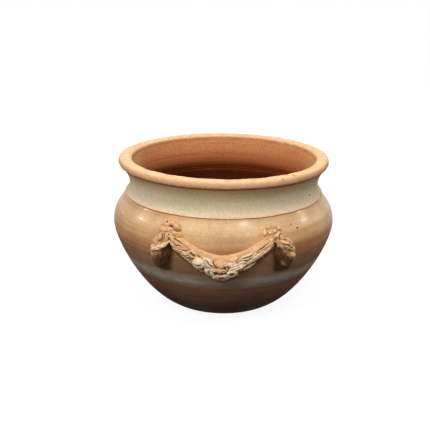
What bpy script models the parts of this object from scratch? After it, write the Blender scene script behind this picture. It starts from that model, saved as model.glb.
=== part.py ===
"""Terracotta planter bowl with a fruit and leaf festoon on its front and its back.

The bowl stands on the XY plane with its axis on Z, and its front faces -Y. It is built as a potter
builds it: a base slab, a thrown belly, a collar and a rim coil are turned pieces that lap into each
other, and the festoons are ropes of clay with leaves, fruits, rosettes and tails pressed onto them.
Every size is in metres and every angle in degrees.
"""

import math

import bmesh
import bpy
from mathutils import Matrix, Vector

# Bowl: heights
BELLY_HEIGHT = 0.148
SHOULDER_RISE = 0.055
NECK_RISE = 0.018
FLARE_RISE = 0.031
RIM_SEAT_DROP = 0.006
BASE_THICKNESS = 0.015
FOOT_RECESS = 0.001

# Bowl: outside radii
FOOT_RADIUS = 0.098
FOOT_ROUND = 0.003
BELLY_RADIUS = 0.200
LEDGE_RADIUS = 0.178
LEDGE_LIP = 0.0015
NECK_RADIUS = 0.170
FLARE_RADIUS = 0.1825
RIM_CENTRE_RADIUS = 0.177
RIM_COIL_RADIUS = 0.010

# Bowl: walls, floor and the laps that key the turned pieces together
WALL = 0.013
FLOOR_RADIUS = 0.085
SLAB_LAP = 0.005
SLAB_FLANGE = 0.008
DRAIN_HOLE_RADIUS = 0.014
LAP_DEPTH = 0.005
LAP_LAND = 0.0045
TONGUE_WIDTH = 0.006
TONGUE_HEIGHT = 0.004
SEAM = 0.0003

# How full the belly and the shoulder are: 2 is a round quarter, less is leaner
BELLY_FULLNESS = 1.39
SHOULDER_TURN = 2.6
SHOULDER_EASE = 1.3

# Festoon: the swag between the two knots. Each drop is measured down from the ledge.
KNOT_ANGLE = 25.0
KNOT_DROP = 0.019
SWAG_END_ANGLE = 23.5
SWAG_END_DROP = 0.035
SWAG_SAG = 0.0425
SWAG_BEND = 0.20
ROPE_MIDDLE_RADIUS = 0.0220
ROPE_END_RADIUS = 0.0105
ROPE_SWELL_SHARE = 0.42
ROPE_SINK_SHARE = 0.2

# Festoon: the rosettes that hide the rope's ends
KNOT_LENGTH = 0.041
KNOT_WIDTH = 0.029
KNOT_RISE = 0.012
KNOT_TILT = 24.0
KNOT_LOBES = 5
KNOT_LOBE_SHARE = 0.12
POKE_RADIUS = 0.0022
POKE_DEPTH = 0.005

# Festoon: the tails that hang from the knots
TAIL_TOP_ANGLE = 27.2
TAIL_TOP_DROP = 0.025
TAIL_END_ANGLE = 32.6
TAIL_DROP = 0.056
TAIL_NECK_RADIUS = 0.009
TAIL_FULL_RADIUS = 0.0165
TAIL_SINK_SHARE = 0.1

# Festoon: sprigs
LEAF_THICKNESS = 0.011
LEAF_GROOVE = 0.0014
FRUIT_FLATNESS = 0.85
SPRIG_SINK = 0.0006

# Fineness of the faceted solids
TURN_STEPS = 48
BELLY_STEPS = 7
SHOULDER_STEPS = 5
COLLAR_STEPS = 4
RIM_STEPS = 10
ROPE_STEPS = 18
TAIL_STEPS = 8
SPRIG_SIDES = 10
SPRIG_RINGS = 7

# Each sprig on the swag: kind, place along the swag from -1 to 1, place round the rope in degrees
# (0 faces out and 90 is up), turn from the rope's run in degrees, length and width in metres.
SWAG_SPRIGS = (
    ("fruit", -0.46, -5, 0, 0.0205, 0.0205),
    ("fruit", -0.04, 42, 0, 0.0210, 0.0210),
    ("fruit", -0.06, 6, 0, 0.0140, 0.0140),
    ("fruit", 0.19, -21, 0, 0.0170, 0.0170),
    ("leaf", -0.88, 14, 1, 0.0340, 0.0140),
    ("leaf", -0.85, -42, -3, 0.0340, 0.0130),
    ("leaf", -0.69, -12, 30, 0.0200, 0.0160),
    ("leaf", -0.61, 34, 20, 0.0220, 0.0160),
    ("leaf", -0.28, 30, -22, 0.0280, 0.0180),
    ("leaf", -0.21, -28, -8, 0.0280, 0.0170),
    ("leaf", -0.01, -50, 0, 0.0280, 0.0140),
    ("leaf", 0.23, 31, -14, 0.0260, 0.0170),
    ("leaf", 0.35, 60, -8, 0.0280, 0.0150),
    ("leaf", 0.36, 3, -8, 0.0320, 0.0150),
    ("leaf", 0.60, 40, 0, 0.0360, 0.0150),
    ("leaf", 0.88, 22, -1, 0.0400, 0.0140),
    ("leaf", 0.72, -18, 2, 0.0520, 0.0150),
)
# Each leaf on a tail: place down the tail from 0 to 1, place round it in degrees towards the
# outside of the pair, turn from the tail's run in degrees, length and width.
TAIL_LEAVES = (
    (0.47, 34, -10, 0.0380, 0.0210),
    (0.66, -20, 10, 0.0360, 0.0200),
)
TAIL_FRUIT = (0.17, 20, 0.0140)
# Each hole poked in a rosette: distance from its middle and direction, in metres and degrees.
KNOT_POKES = ((0.0, 0), (0.0115, 12), (0.0120, 172), (0.0085, 255))

CLAY = (0.62, 0.33, 0.17)
CLAY_COLLAR = (0.60, 0.50, 0.36)
CLAY_RIM = (0.72, 0.48, 0.28)
CLAY_BASE = (0.42, 0.24, 0.14)
CLAY_SPRIG = (0.66, 0.44, 0.27)


def clay_material(name, colour, roughness):
    """A plain fired-clay material with that colour and roughness."""
    material = bpy.data.materials.new(name)
    material.use_nodes = True
    shader = material.node_tree.nodes["Principled BSDF"]
    shader.inputs["Base Color"].default_value = (*colour, 1.0)
    shader.inputs["Roughness"].default_value = roughness
    shader.inputs["Metallic"].default_value = 0.0
    material.diffuse_color = (*colour, 1.0)
    return material


def add_object(name, data, collection, material=None, matrix=None):
    obj = bpy.data.objects.new(name, data)
    if matrix is not None:
        obj.matrix_world = matrix
    if material is not None:
        data.materials.clear()
        data.materials.append(material)
    collection.objects.link(obj)
    return obj


def evaluated_mesh(obj):
    """The object's mesh with its modifiers applied, in its own space."""
    bpy.context.view_layer.update()
    graph = bpy.context.evaluated_depsgraph_get()
    return bpy.data.meshes.new_from_object(obj.evaluated_get(graph))


def shade_round(mesh, sharp_degrees=40):
    mesh.shade_smooth()
    mesh.set_sharp_from_angle(angle=math.radians(sharp_degrees))


# Outlines of the turned pieces

def ledge_height():
    return BELLY_HEIGHT + SHOULDER_RISE


def collar_top():
    return ledge_height() + NECK_RISE + FLARE_RISE


def quarter(share):
    """From 0 at the foot to 1 at the belly: a quarter turn of a lean superellipse."""
    share = min(max(share, 0.0), 1.0)
    return (1 - (1 - share) ** BELLY_FULLNESS) ** (1 / BELLY_FULLNESS)


def shoulder(share):
    """From 1 at the belly to 0 at the ledge, turning over fast and then easing upright."""
    share = min(max(share, 0.0), 1.0)
    return (1 - share**SHOULDER_TURN) ** SHOULDER_EASE


def body_radius(height):
    """Outside radius of the thrown belly at a height, from the foot to the ledge."""
    if height <= BELLY_HEIGHT:
        return FOOT_RADIUS + (BELLY_RADIUS - FOOT_RADIUS) * quarter(height / BELLY_HEIGHT)
    top = LEDGE_RADIUS - LEDGE_LIP
    return top + (BELLY_RADIUS - top) * shoulder((height - BELLY_HEIGHT) / SHOULDER_RISE)


def inner_radius(height):
    """Inside radius at a height, from the floor up to the ledge."""
    belly = BELLY_RADIUS - WALL
    if height <= BELLY_HEIGHT:
        floor = FLOOR_RADIUS + SEAM
        share = (height - BASE_THICKNESS) / (BELLY_HEIGHT - BASE_THICKNESS)
        return floor + (belly - floor) * quarter(share)
    ledge = LEDGE_RADIUS - WALL
    return ledge + (belly - ledge) * shoulder((height - BELLY_HEIGHT) / SHOULDER_RISE)


def collar_radius(height):
    """Outside radius of the collar: it draws in from the ledge to the neck, then flares to the rim."""
    neck = ledge_height() + NECK_RISE
    if height <= neck:
        return NECK_RADIUS + (LEDGE_RADIUS - NECK_RADIUS) * ((neck - height) / NECK_RISE) ** 2
    return NECK_RADIUS + (FLARE_RADIUS - NECK_RADIUS) * ((height - neck) / FLARE_RISE) ** 2


def steps_between(start, end, count):
    """count + 1 values from start to end, both included."""
    return [start + (end - start) * i / count for i in range(count + 1)]


def eased_steps(start, end, count):
    """Like steps_between, but closer together near start, where the outline turns fastest."""
    return [start + (end - start) * (i / count) ** 1.5 for i in range(count + 1)]


def base_slab_outline():
    top, seat = BASE_THICKNESS, BASE_THICKNESS - SLAB_FLANGE
    return [
        (FLOOR_RADIUS, top),
        (FLOOR_RADIUS, seat),
        (FLOOR_RADIUS - SLAB_LAP, seat),
        (FLOOR_RADIUS - SLAB_LAP, FOOT_RECESS),
        (DRAIN_HOLE_RADIUS, FOOT_RECESS),
        (DRAIN_HOLE_RADIUS, top),
    ]


def lap_radius():
    """Where the belly's upstanding edge ends and the collar's spigot begins."""
    return LEDGE_RADIUS - LEDGE_LIP - LAP_LAND


def belly_outline():
    top = ledge_height() - SEAM
    lap = top - LAP_DEPTH
    seat = BASE_THICKNESS - SLAB_FLANGE - SEAM
    outside = [(body_radius(z), z) for z in reversed(steps_between(BELLY_HEIGHT, top, SHOULDER_STEPS))]
    lower = reversed(eased_steps(FOOT_ROUND, BELLY_HEIGHT, BELLY_STEPS)[:-1])
    outside += [(body_radius(z), z) for z in lower]
    foot = [
        (FOOT_RADIUS, 0.0),
        (FLOOR_RADIUS - SLAB_LAP + SEAM, 0.0),
        (FLOOR_RADIUS - SLAB_LAP + SEAM, seat),
        (FLOOR_RADIUS + SEAM, seat),
    ]
    inside = [(inner_radius(z), z) for z in eased_steps(BASE_THICKNESS, BELLY_HEIGHT, BELLY_STEPS)]
    inside += [(inner_radius(z), z) for z in steps_between(BELLY_HEIGHT, lap, SHOULDER_STEPS)[1:]]
    return outside + foot + inside + [(lap_radius(), lap), (lap_radius(), top)]


def tongue_edges():
    """Inner and outer radius of the collar's tongue, midway in its top edge."""
    middle = (collar_radius(collar_top()) + mouth_radius()) / 2
    return middle - TONGUE_WIDTH / 2, middle + TONGUE_WIDTH / 2


def mouth_radius():
    """Inside radius of the collar's top edge, under the rim coil."""
    return collar_radius(collar_top()) - WALL


def collar_outline():
    ledge, top = ledge_height(), collar_top()
    spigot_end = ledge - LAP_DEPTH
    spigot_radius = lap_radius() - SEAM
    tongue_in, tongue_out = tongue_edges()
    heights = steps_between(ledge, ledge + NECK_RISE, COLLAR_STEPS)
    heights += steps_between(ledge + NECK_RISE, top, COLLAR_STEPS)[1:]
    outside = [(collar_radius(z), z) for z in reversed(heights)]
    spigot = [(spigot_radius, ledge), (spigot_radius, spigot_end), (inner_radius(spigot_end), spigot_end)]
    inside = [(collar_radius(z) - WALL, z) for z in heights]
    tongue = [
        (tongue_in, top),
        (tongue_in, top + TONGUE_HEIGHT),
        (tongue_out, top + TONGUE_HEIGHT),
        (tongue_out, top),
    ]
    return outside + spigot + inside + tongue


def rim_outline():
    """A round coil cut flat where it seats, with a groove for the collar's tongue."""
    seat = collar_top() + SEAM
    centre = seat + RIM_SEAT_DROP
    lowest = -math.asin(min(RIM_SEAT_DROP / RIM_COIL_RADIUS, 0.95))
    tongue_in, tongue_out = tongue_edges()
    groove_top = collar_top() + TONGUE_HEIGHT + SEAM
    start, end = math.pi - lowest, lowest
    angles = steps_between(start, end, RIM_STEPS)
    coil = [
        (RIM_CENTRE_RADIUS + RIM_COIL_RADIUS * math.cos(a), centre + RIM_COIL_RADIUS * math.sin(a))
        for a in angles
    ]
    groove = [
        (tongue_out + SEAM, seat),
        (tongue_out + SEAM, groove_top),
        (tongue_in - SEAM, groove_top),
        (tongue_in - SEAM, seat),
    ]
    return coil + groove


def turned(name, outline, material, collection):
    """A solid of revolution: the closed outline, listed down its outer side, carried round Z."""
    profile = bpy.data.meshes.new(name)
    count = len(outline)
    profile.from_pydata([(r, 0.0, z) for r, z in outline], [(i, (i + 1) % count) for i in range(count)], [])
    obj = add_object(name, profile, collection)
    screw = obj.modifiers.new("turn", "SCREW")
    screw.steps = TURN_STEPS
    screw.render_steps = TURN_STEPS
    screw.use_merge_vertices = True
    screw.merge_threshold = 0.00001
    mesh = evaluated_mesh(obj)
    obj.modifiers.clear()
    obj.data = mesh
    mesh.name = name
    bpy.data.meshes.remove(profile)
    mesh.materials.append(material)
    shade_round(mesh)
    return obj


# Festoon: frames on the bowl's surface and on the ropes

def surface_frame(angle, height, lift=0.0):
    """A frame on the belly: X runs round it towards larger angles, Y up it and Z straight out of it."""
    step = 0.0005
    slope = (body_radius(height + step) - body_radius(height - step)) / (2 * step)
    turn = math.radians(angle)
    around = Vector((math.cos(turn), math.sin(turn), 0.0))
    radial = Vector((math.sin(turn), -math.cos(turn), 0.0))
    out = (radial - Vector((0.0, 0.0, slope))).normalized()
    up = out.cross(around)
    place = radial * body_radius(height) + Vector((0.0, 0.0, height)) + out * lift
    frame = Matrix((around, up, out)).transposed().to_4x4()
    frame.translation = place
    return frame


def swag_place(share):
    """Angle and height of the swag at a share from -1, its left end, to 1: a V with a rounded foot."""
    rise = math.hypot(share, SWAG_BEND) - SWAG_BEND
    full_rise = math.hypot(1.0, SWAG_BEND) - SWAG_BEND
    lowest = ledge_height() - SWAG_END_DROP - SWAG_SAG
    return share * SWAG_END_ANGLE, lowest + SWAG_SAG * rise / full_rise


def swag_radius(share):
    """Slim towards the knots and swelling over the middle of the swag."""
    swell = math.exp(-((share / ROPE_SWELL_SHARE) ** 2))
    return ROPE_END_RADIUS + (ROPE_MIDDLE_RADIUS - ROPE_END_RADIUS) * swell


def tail_place(side, share):
    """Angle and height of a tail at a share from 0, under its knot, to 1, its lower end."""
    angle = TAIL_TOP_ANGLE + (TAIL_END_ANGLE - TAIL_TOP_ANGLE) * share
    return side * angle, ledge_height() - TAIL_TOP_DROP - TAIL_DROP * share


def tail_radius(share):
    """Slim at the knot, fullest two thirds down and rounded off at the end."""
    swell = math.sin(math.pi * min(max(share, 0.0), 1.0) ** 1.4)
    return TAIL_NECK_RADIUS + (TAIL_FULL_RADIUS - TAIL_NECK_RADIUS) * swell


def run_frame(place_at, radius_at, sink_share, share):
    """A frame on a rope's centre line: X along the rope, Y across it and Z straight out of the bowl."""
    step = 0.01
    here, before, after = (
        surface_frame(*place_at(spot), -sink_share * radius_at(spot))
        for spot in (share, share - step, share + step)
    )
    out = here.to_3x3().col[2]
    run = (after.translation - before.translation).normalized()
    across = out.cross(run).normalized()
    out = run.cross(across)
    frame = Matrix((run, across, out)).transposed().to_4x4()
    frame.translation = here.translation
    return frame


def on_rope(place_at, radius_at, sink_share, share, around, turn):
    """A frame just under a rope's skin, facing out of it, with X turned from the rope's run."""
    frame = run_frame(place_at, radius_at, sink_share, share)
    skin = Matrix.Translation((0.0, 0.0, radius_at(share) - SPRIG_SINK))
    to_skin = Matrix.Rotation(-math.radians(around), 4, "X") @ skin
    return frame @ to_skin @ Matrix.Rotation(math.radians(turn), 4, "Z")


# Festoon: cutting and seating

def box_of(obj):
    corners = [obj.matrix_world @ vertex.co for vertex in obj.data.vertices]
    low = [min(c[i] for c in corners) for i in range(3)]
    high = [max(c[i] for c in corners) for i in range(3)]
    return low, high


def boxes_meet(first, second):
    return all(first[0][i] <= second[1][i] and second[0][i] <= first[1][i] for i in range(3))


def keep_largest_piece(mesh):
    """Drops the crumbs that a cut leaves, so that the piece stays one solid."""
    work = bmesh.new()
    work.from_mesh(mesh)
    left = set(work.verts)
    pieces = []
    while left:
        stack = [left.pop()]
        piece = set(stack)
        while stack:
            for edge in stack.pop().link_edges:
                for vertex in edge.verts:
                    if vertex in left:
                        left.remove(vertex)
                        piece.add(vertex)
                        stack.append(vertex)
        pieces.append(piece)
    largest = max(pieces, key=lambda p: box_spread([v.co for v in p]))
    crumbs = [v for piece in pieces if piece is not largest for v in piece]
    bmesh.ops.delete(work, geom=crumbs, context="VERTS")
    work.to_mesh(mesh)
    work.free()


def box_spread(points):
    """Volume of the points' box."""
    sides = [max(p[i] for p in points) - min(p[i] for p in points) for i in range(3)]
    return sides[0] * sides[1] * sides[2]


def seat(obj, neighbours):
    """Cuts the neighbours' swollen copies out of a piece, so that it lies on them with a seam between."""
    own_box = box_of(obj)
    near = bpy.data.collections.new("under " + obj.name)
    for neighbour in neighbours:
        if boxes_meet(own_box, box_of(neighbour)):
            near.objects.link(neighbour)
    cut = obj.modifiers.new("seat", "BOOLEAN")
    cut.operation = "DIFFERENCE"
    cut.operand_type = "COLLECTION"
    cut.collection = near
    material = obj.data.materials[0]
    mesh = evaluated_mesh(obj)
    obj.modifiers.clear()
    bpy.data.collections.remove(near)
    obj.data = mesh
    mesh.materials.clear()
    mesh.materials.append(material)
    keep_largest_piece(mesh)
    shade_round(mesh)
    return obj


def swollen(obj, collection):
    """A guide copy of a piece, grown by the seam, which cuts the pieces laid against it."""
    mesh = obj.data.copy()
    work = bmesh.new()
    work.from_mesh(mesh)
    work.normal_update()
    moves = [(v, v.normal * SEAM * 1.3) for v in work.verts]
    for vertex, move in moves:
        vertex.co += move
    work.to_mesh(mesh)
    work.free()
    guide = add_object(obj.name + "_guide", mesh, collection, matrix=obj.matrix_world)
    hide_guide(guide)
    return guide


def hide_guide(guide):
    guide.hide_render = True
    guide.display_type = "WIRE"


def bowl_guide(collection):
    """The belly's outside, grown by the seam: it trims the back of every piece laid on the bowl."""
    top = ledge_height()
    outline = [(body_radius(z) + SEAM, z) for z in reversed(steps_between(BELLY_HEIGHT, top, SHOULDER_STEPS))]
    lower = reversed(eased_steps(FOOT_ROUND, BELLY_HEIGHT, BELLY_STEPS)[:-1])
    outline += [(body_radius(z) + SEAM, z) for z in lower]
    core = NECK_RADIUS / 4
    outline += [(core, FOOT_ROUND), (core, top)]
    guide = turned("bowl_guide", outline, clay_material("guide", CLAY, 1.0), collection)
    hide_guide(guide)
    return guide


# Festoon: shapes

def round_mesh(name, around_steps, pole_steps):
    mesh = bpy.data.meshes.new(name)
    work = bmesh.new()
    bmesh.ops.create_uvsphere(work, u_segments=around_steps, v_segments=pole_steps, radius=1.0)
    work.to_mesh(mesh)
    work.free()
    return mesh


def leaf_mesh(name, length, width, cling):
    """A thick pointed leaf along X with a groove down its middle, bent down to a rope of radius cling."""
    mesh = round_mesh(name, SPRIG_SIDES, SPRIG_RINGS)
    for vertex in mesh.vertices:
        along, across, out = vertex.co.z, vertex.co.y, vertex.co.x
        point = max(1 - abs(along), 0.0)
        x = along * length / 2
        y = across * width / 2 * (point**0.3)
        z = out * LEAF_THICKNESS / 2 * (0.35 + 0.65 * point**0.5)
        if out > 0:
            z -= LEAF_GROOVE * math.exp(-((across / 0.35) ** 2)) * point**0.5
        z -= y * y / (2 * cling)
        vertex.co = (x, y, z)
    work = bmesh.new()
    work.from_mesh(mesh)
    bmesh.ops.recalc_face_normals(work, faces=work.faces)
    work.to_mesh(mesh)
    work.free()
    return mesh


def fruit_mesh(name, diameter):
    """A round fruit, a little flattened where it is pressed on, with a dimple where its flower was."""
    mesh = round_mesh(name, SPRIG_SIDES, SPRIG_RINGS)
    for vertex in mesh.vertices:
        x, y, z = vertex.co
        dimple = 0.16 * math.exp(-((x * x + y * y) / 0.06)) if z > 0 else 0.0
        vertex.co = (x * diameter / 2, y * diameter / 2, (z * FRUIT_FLATNESS - dimple) * diameter / 2)
    return mesh


def knot_mesh(name):
    """A rosette: a low oval dome whose edge is scalloped into lobes."""
    mesh = round_mesh(name, KNOT_LOBES * 4, SPRIG_RINGS)
    for vertex in mesh.vertices:
        x, y, z = vertex.co
        spread = 1 + KNOT_LOBE_SHARE * math.cos(KNOT_LOBES * math.atan2(y, x)) * math.hypot(x, y)
        vertex.co = (x * spread * KNOT_LENGTH / 2, y * spread * KNOT_WIDTH / 2, z * KNOT_RISE)
    return mesh


def tapered_rope(name, place_at, radius_at, sink_share, shares, material, collection):
    """A bevelled curve along the rope's places, thick as radius_at says, made a welded mesh."""
    curve = bpy.data.curves.new(name, "CURVE")
    curve.dimensions = "3D"
    curve.bevel_depth = 1.0
    curve.bevel_resolution = 3
    curve.use_fill_caps = True
    spline = curve.splines.new("POLY")
    spline.points.add(len(shares) - 1)
    for point, share in zip(spline.points, shares):
        place = run_frame(place_at, radius_at, sink_share, share).translation
        point.co = (*place, 1.0)
        point.radius = radius_at(share)
    guide = add_object(name + "_curve", curve, collection)
    mesh = evaluated_mesh(guide)
    bpy.data.objects.remove(guide)
    work = bmesh.new()
    work.from_mesh(mesh)
    bmesh.ops.remove_doubles(work, verts=work.verts, dist=0.00001)
    bmesh.ops.recalc_face_normals(work, faces=work.faces)
    work.to_mesh(mesh)
    work.free()
    return add_object(name, mesh, collection, material)


class Festoon:
    """One festoon: a swag of clay rope between two knots, each with a tail, covered in sprigs."""

    def __init__(self, name, bowl, materials, parts, guides):
        self.name = name
        self.bowl = bowl
        self.materials = materials
        self.parts = parts
        self.guides = guides
        self.laid = []

    def lay(self, obj, cutters=()):
        """Seats a piece on the bowl and on all that is laid already, and keeps its whole shape as a guide."""
        guide = swollen(obj, self.guides)
        seat(obj, [self.bowl, *self.laid, *cutters])
        self.laid.append(guide)
        return obj

    def piece(self, name, mesh, frame):
        obj = add_object(f"{self.name}_{name}", mesh, self.parts, self.materials["sprig"], frame)
        return self.lay(obj)

    def rope(self, name, place_at, radius_at, sink_share, shares):
        full_name = f"{self.name}_{name}"
        obj = tapered_rope(
            full_name, place_at, radius_at, sink_share, shares, self.materials["rope"], self.parts
        )
        return self.lay(obj)

    def tail_core(self, side_name, side):
        def place_at(share):
            return tail_place(side, share)

        shares = steps_between(0.0, 1.0, TAIL_STEPS)
        self.rope(f"tail_{side_name}_core", place_at, tail_radius, TAIL_SINK_SHARE, shares)

    def knot(self, side_name, side):
        tilt = Matrix.Rotation(math.radians(side * KNOT_TILT), 4, "Z")
        frame = surface_frame(side * KNOT_ANGLE, ledge_height() - KNOT_DROP) @ tilt
        name = f"{self.name}_knot_{side_name}"
        obj = add_object(name, knot_mesh(name), self.parts, self.materials["sprig"], frame)
        pokes = [self.poke(frame, side * away, direction) for away, direction in KNOT_POKES]
        self.lay(obj, pokes)

    def poke(self, place, away, direction):
        """The cutter of one hole, on the knot's dome at that distance and direction from its middle."""
        x = away * math.cos(math.radians(direction))
        y = abs(away) * math.sin(math.radians(direction))
        fall = (x / (KNOT_LENGTH / 2)) ** 2 + (y / (KNOT_WIDTH / 2)) ** 2
        skin = KNOT_RISE * math.sqrt(max(1 - fall, 0.0))
        hole = round_mesh("poke", 6, 5)
        hole.transform(Matrix.Diagonal((POKE_RADIUS, POKE_RADIUS, POKE_DEPTH, 1.0)))
        cutter = add_object("poke", hole, self.guides, matrix=place @ Matrix.Translation((x, y, skin)))
        hide_guide(cutter)
        return cutter

    def swag_sprigs(self):
        counts = {"fruit": 0, "leaf": 0}
        for kind, share, around, turn, length, width in SWAG_SPRIGS:
            counts[kind] += 1
            frame = on_rope(swag_place, swag_radius, ROPE_SINK_SHARE, share, around, turn)
            if kind == "fruit":
                mesh = fruit_mesh(kind, length)
            else:
                mesh = leaf_mesh(kind, length, width, swag_radius(share))
            self.piece(f"swag_{kind}_{counts[kind]:02d}", mesh, frame)

    def tail_sprigs(self, side_name, side):
        def place_at(share):
            return tail_place(side, share)

        share, around, diameter = TAIL_FRUIT
        frame = on_rope(place_at, tail_radius, TAIL_SINK_SHARE, share, side * around, 0.0)
        self.piece(f"tail_{side_name}_fruit", fruit_mesh("fruit", diameter), frame)
        for number, (share, around, turn, length, width) in enumerate(TAIL_LEAVES, 1):
            frame = on_rope(place_at, tail_radius, TAIL_SINK_SHARE, share, side * around, side * turn)
            mesh = leaf_mesh("leaf", length, width, tail_radius(share))
            self.piece(f"tail_{side_name}_leaf_{number}", mesh, frame)


def build_bowl(parts, materials):
    turned("base_slab", base_slab_outline(), materials["base"], parts)
    turned("belly_wall", belly_outline(), materials["belly"], parts)
    turned("neck_collar", collar_outline(), materials["collar"], parts)
    turned("rim_coil", rim_outline(), materials["rim"], parts)


def build_festoon(name, bowl, materials, parts, guides):
    festoon = Festoon(name, bowl, materials, parts, guides)
    sides = (("left", -1), ("right", 1))
    festoon.rope("swag_rope", swag_place, swag_radius, ROPE_SINK_SHARE, steps_between(-1.0, 1.0, ROPE_STEPS))
    for side_name, side in sides:
        festoon.tail_core(side_name, side)
    for side_name, side in sides:
        festoon.knot(side_name, side)
    festoon.swag_sprigs()
    for side_name, side in sides:
        festoon.tail_sprigs(side_name, side)


def repeat_festoon(name, new_name, angle, parts):
    """Copies each piece of a festoon, turned round the bowl by that angle."""
    turn = Matrix.Rotation(math.radians(angle), 4, "Z")
    for obj in list(parts.objects):
        if obj.name.startswith(name + "_"):
            copy_name = obj.name.replace(name, new_name, 1)
            add_object(copy_name, obj.data, parts, matrix=turn @ obj.matrix_world)


def main():
    for obj in list(bpy.data.objects):
        bpy.data.objects.remove(obj)
    parts = bpy.data.collections.new("terracotta_planter_bowl")
    guides = bpy.data.collections.new("guides")
    for collection in (parts, guides):
        bpy.context.scene.collection.children.link(collection)
    materials = {
        "base": clay_material("clay_base", CLAY_BASE, 0.85),
        "belly": clay_material("clay_belly", CLAY, 0.55),
        "collar": clay_material("clay_collar", CLAY_COLLAR, 0.9),
        "rim": clay_material("clay_rim", CLAY_RIM, 0.8),
        "rope": clay_material("clay_rope", CLAY, 0.75),
        "sprig": clay_material("clay_sprig", CLAY_SPRIG, 0.8),
    }
    build_bowl(parts, materials)
    bowl = bowl_guide(guides)
    build_festoon("front", bowl, materials, parts, guides)
    repeat_festoon("front", "back", 180.0, parts)
    for guide in list(guides.objects):
        bpy.data.objects.remove(guide)


main()
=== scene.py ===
# %% [markdown]
# # A terracotta planter bowl with a festoon
#
# The real bowl is thrown on a wheel in coarse red clay, and the potter then presses a rope of clay on
# its front and dresses it with leaves and fruits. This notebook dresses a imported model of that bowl.
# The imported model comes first, because every piece below stands for one of its nodes and keeps its
# place. All lengths are in metres, Z is up and the bowl's front faces -Y.

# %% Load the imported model
import math
from collections import namedtuple

import bpy
import numpy as np
from mathutils import Matrix, Vector


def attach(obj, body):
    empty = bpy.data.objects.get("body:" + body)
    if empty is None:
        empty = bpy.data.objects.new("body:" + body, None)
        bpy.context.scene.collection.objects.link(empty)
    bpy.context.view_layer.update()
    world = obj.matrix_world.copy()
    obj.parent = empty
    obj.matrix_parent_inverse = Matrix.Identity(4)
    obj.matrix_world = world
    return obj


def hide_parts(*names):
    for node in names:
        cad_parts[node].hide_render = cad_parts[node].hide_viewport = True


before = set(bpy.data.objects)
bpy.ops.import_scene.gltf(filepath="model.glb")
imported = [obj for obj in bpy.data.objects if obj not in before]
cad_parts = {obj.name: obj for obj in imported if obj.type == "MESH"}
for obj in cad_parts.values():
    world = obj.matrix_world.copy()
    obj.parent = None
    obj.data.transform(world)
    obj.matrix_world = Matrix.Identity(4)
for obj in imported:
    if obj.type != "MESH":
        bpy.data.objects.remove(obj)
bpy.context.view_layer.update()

# %% [markdown]
# ## The bowl's outline
#
# A thrown bowl is a turned shape, so one curve describes it: its radius at each height. The belly is a
# lean superellipse, which leaves the foot at a slant and is upright at the widest place. The shoulder
# rolls over quickly from there and then eases up to the ledge that carries the collar. The curve could be
# drawn by hand from points, but a formula gives its slope too, and the festoon needs that.

# %% Outline of the belly
BELLY_HEIGHT = 0.148
LEDGE_HEIGHT = 0.203
FOOT_RADIUS = 0.098
BELLY_RADIUS = 0.200
SHOULDER_TOP_RADIUS = 0.1765
BELLY_FULLNESS = 1.39
SHOULDER_TURN = 2.6
SHOULDER_EASE = 1.3
WALL = 0.013
HALF_WALL = 0.006
FLOOR_HEIGHT = 0.015
FLOOR_RADIUS = 0.0853
LINING_TOP_RADIUS = 0.165


def quarter(share):
    """Lean quarter turn from 0 to 1: (1 - (1 - share)^n)^(1/n), where n is the belly's fullness."""
    share = np.clip(share, 0.0, 1.0)
    return (1 - (1 - share) ** BELLY_FULLNESS) ** (1 / BELLY_FULLNESS)


def roll_over(share):
    """The shoulder, from 1 down to 0: (1 - share^turn)^ease."""
    share = np.clip(share, 0.0, 1.0)
    return (1 - share**SHOULDER_TURN) ** SHOULDER_EASE


def bowl_curve(height, bottom, bottom_radius, widest, top_radius):
    """The bottom's radius plus a quarter turn, and above the belly's height the shoulder's roll."""
    low = bottom_radius + (widest - bottom_radius) * quarter((height - bottom) / (BELLY_HEIGHT - bottom))
    rise = (height - BELLY_HEIGHT) / (LEDGE_HEIGHT - BELLY_HEIGHT)
    high = top_radius + (widest - top_radius) * roll_over(rise)
    return np.where(height <= BELLY_HEIGHT, low, high)


def wall_radius(height):
    return bowl_curve(height, 0.0, FOOT_RADIUS, BELLY_RADIUS, SHOULDER_TOP_RADIUS)


def lining_radius(height):
    """Inside radius: the same two curves, a wall's thickness further in."""
    return bowl_curve(height, FLOOR_HEIGHT, FLOOR_RADIUS, BELLY_RADIUS - WALL, LINING_TOP_RADIUS)


def round_axis(radius, angle, height):
    """(r sin a, -r cos a, z): places round the bowl, with the angle in radians from its front."""
    return np.stack(np.broadcast_arrays(radius * np.sin(angle), -radius * np.cos(angle), height), axis=-1)


print("belly radius at 50, 100 and 148 mm:", wall_radius(np.array([0.05, 0.1, 0.148])).round(4))

# %% [markdown]
# ## Clay is never quite even
#
# Fingers leave low swellings in wet clay. A random height at each point would look like sandpaper, so
# the unevenness here is a sum of smooth waves that run in random directions. The seed fixes them, and
# the same call always gives the same clay. Around the bowl the waves must close on themselves, which a
# function of the point in space does by itself.

# %% Smooth unevenness
def lumps(points, size, seed, waves=14):
    """Swellings about `size` across, from -1 to 1: tanh of a sum of sine waves in random directions."""
    random = np.random.default_rng(seed)
    directions = random.normal(size=(waves, 3))
    directions /= np.linalg.norm(directions, axis=1, keepdims=True)
    stretch = random.uniform(0.6, 1.4, waves)[:, None]
    phases = random.uniform(0, 2 * np.pi, waves)
    field = np.sin(points @ (directions * stretch * 2 * np.pi / size).T + phases)
    return np.tanh(field.sum(axis=-1) * 1.25 / math.sqrt(waves))


def smooth_step(value, low, high):
    """0 below low, 1 above high, and 3t^2 - 2t^3 between them."""
    share = np.clip((value - low) / (high - low), 0.0, 1.0)
    return share * share * (3 - 2 * share)


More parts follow.
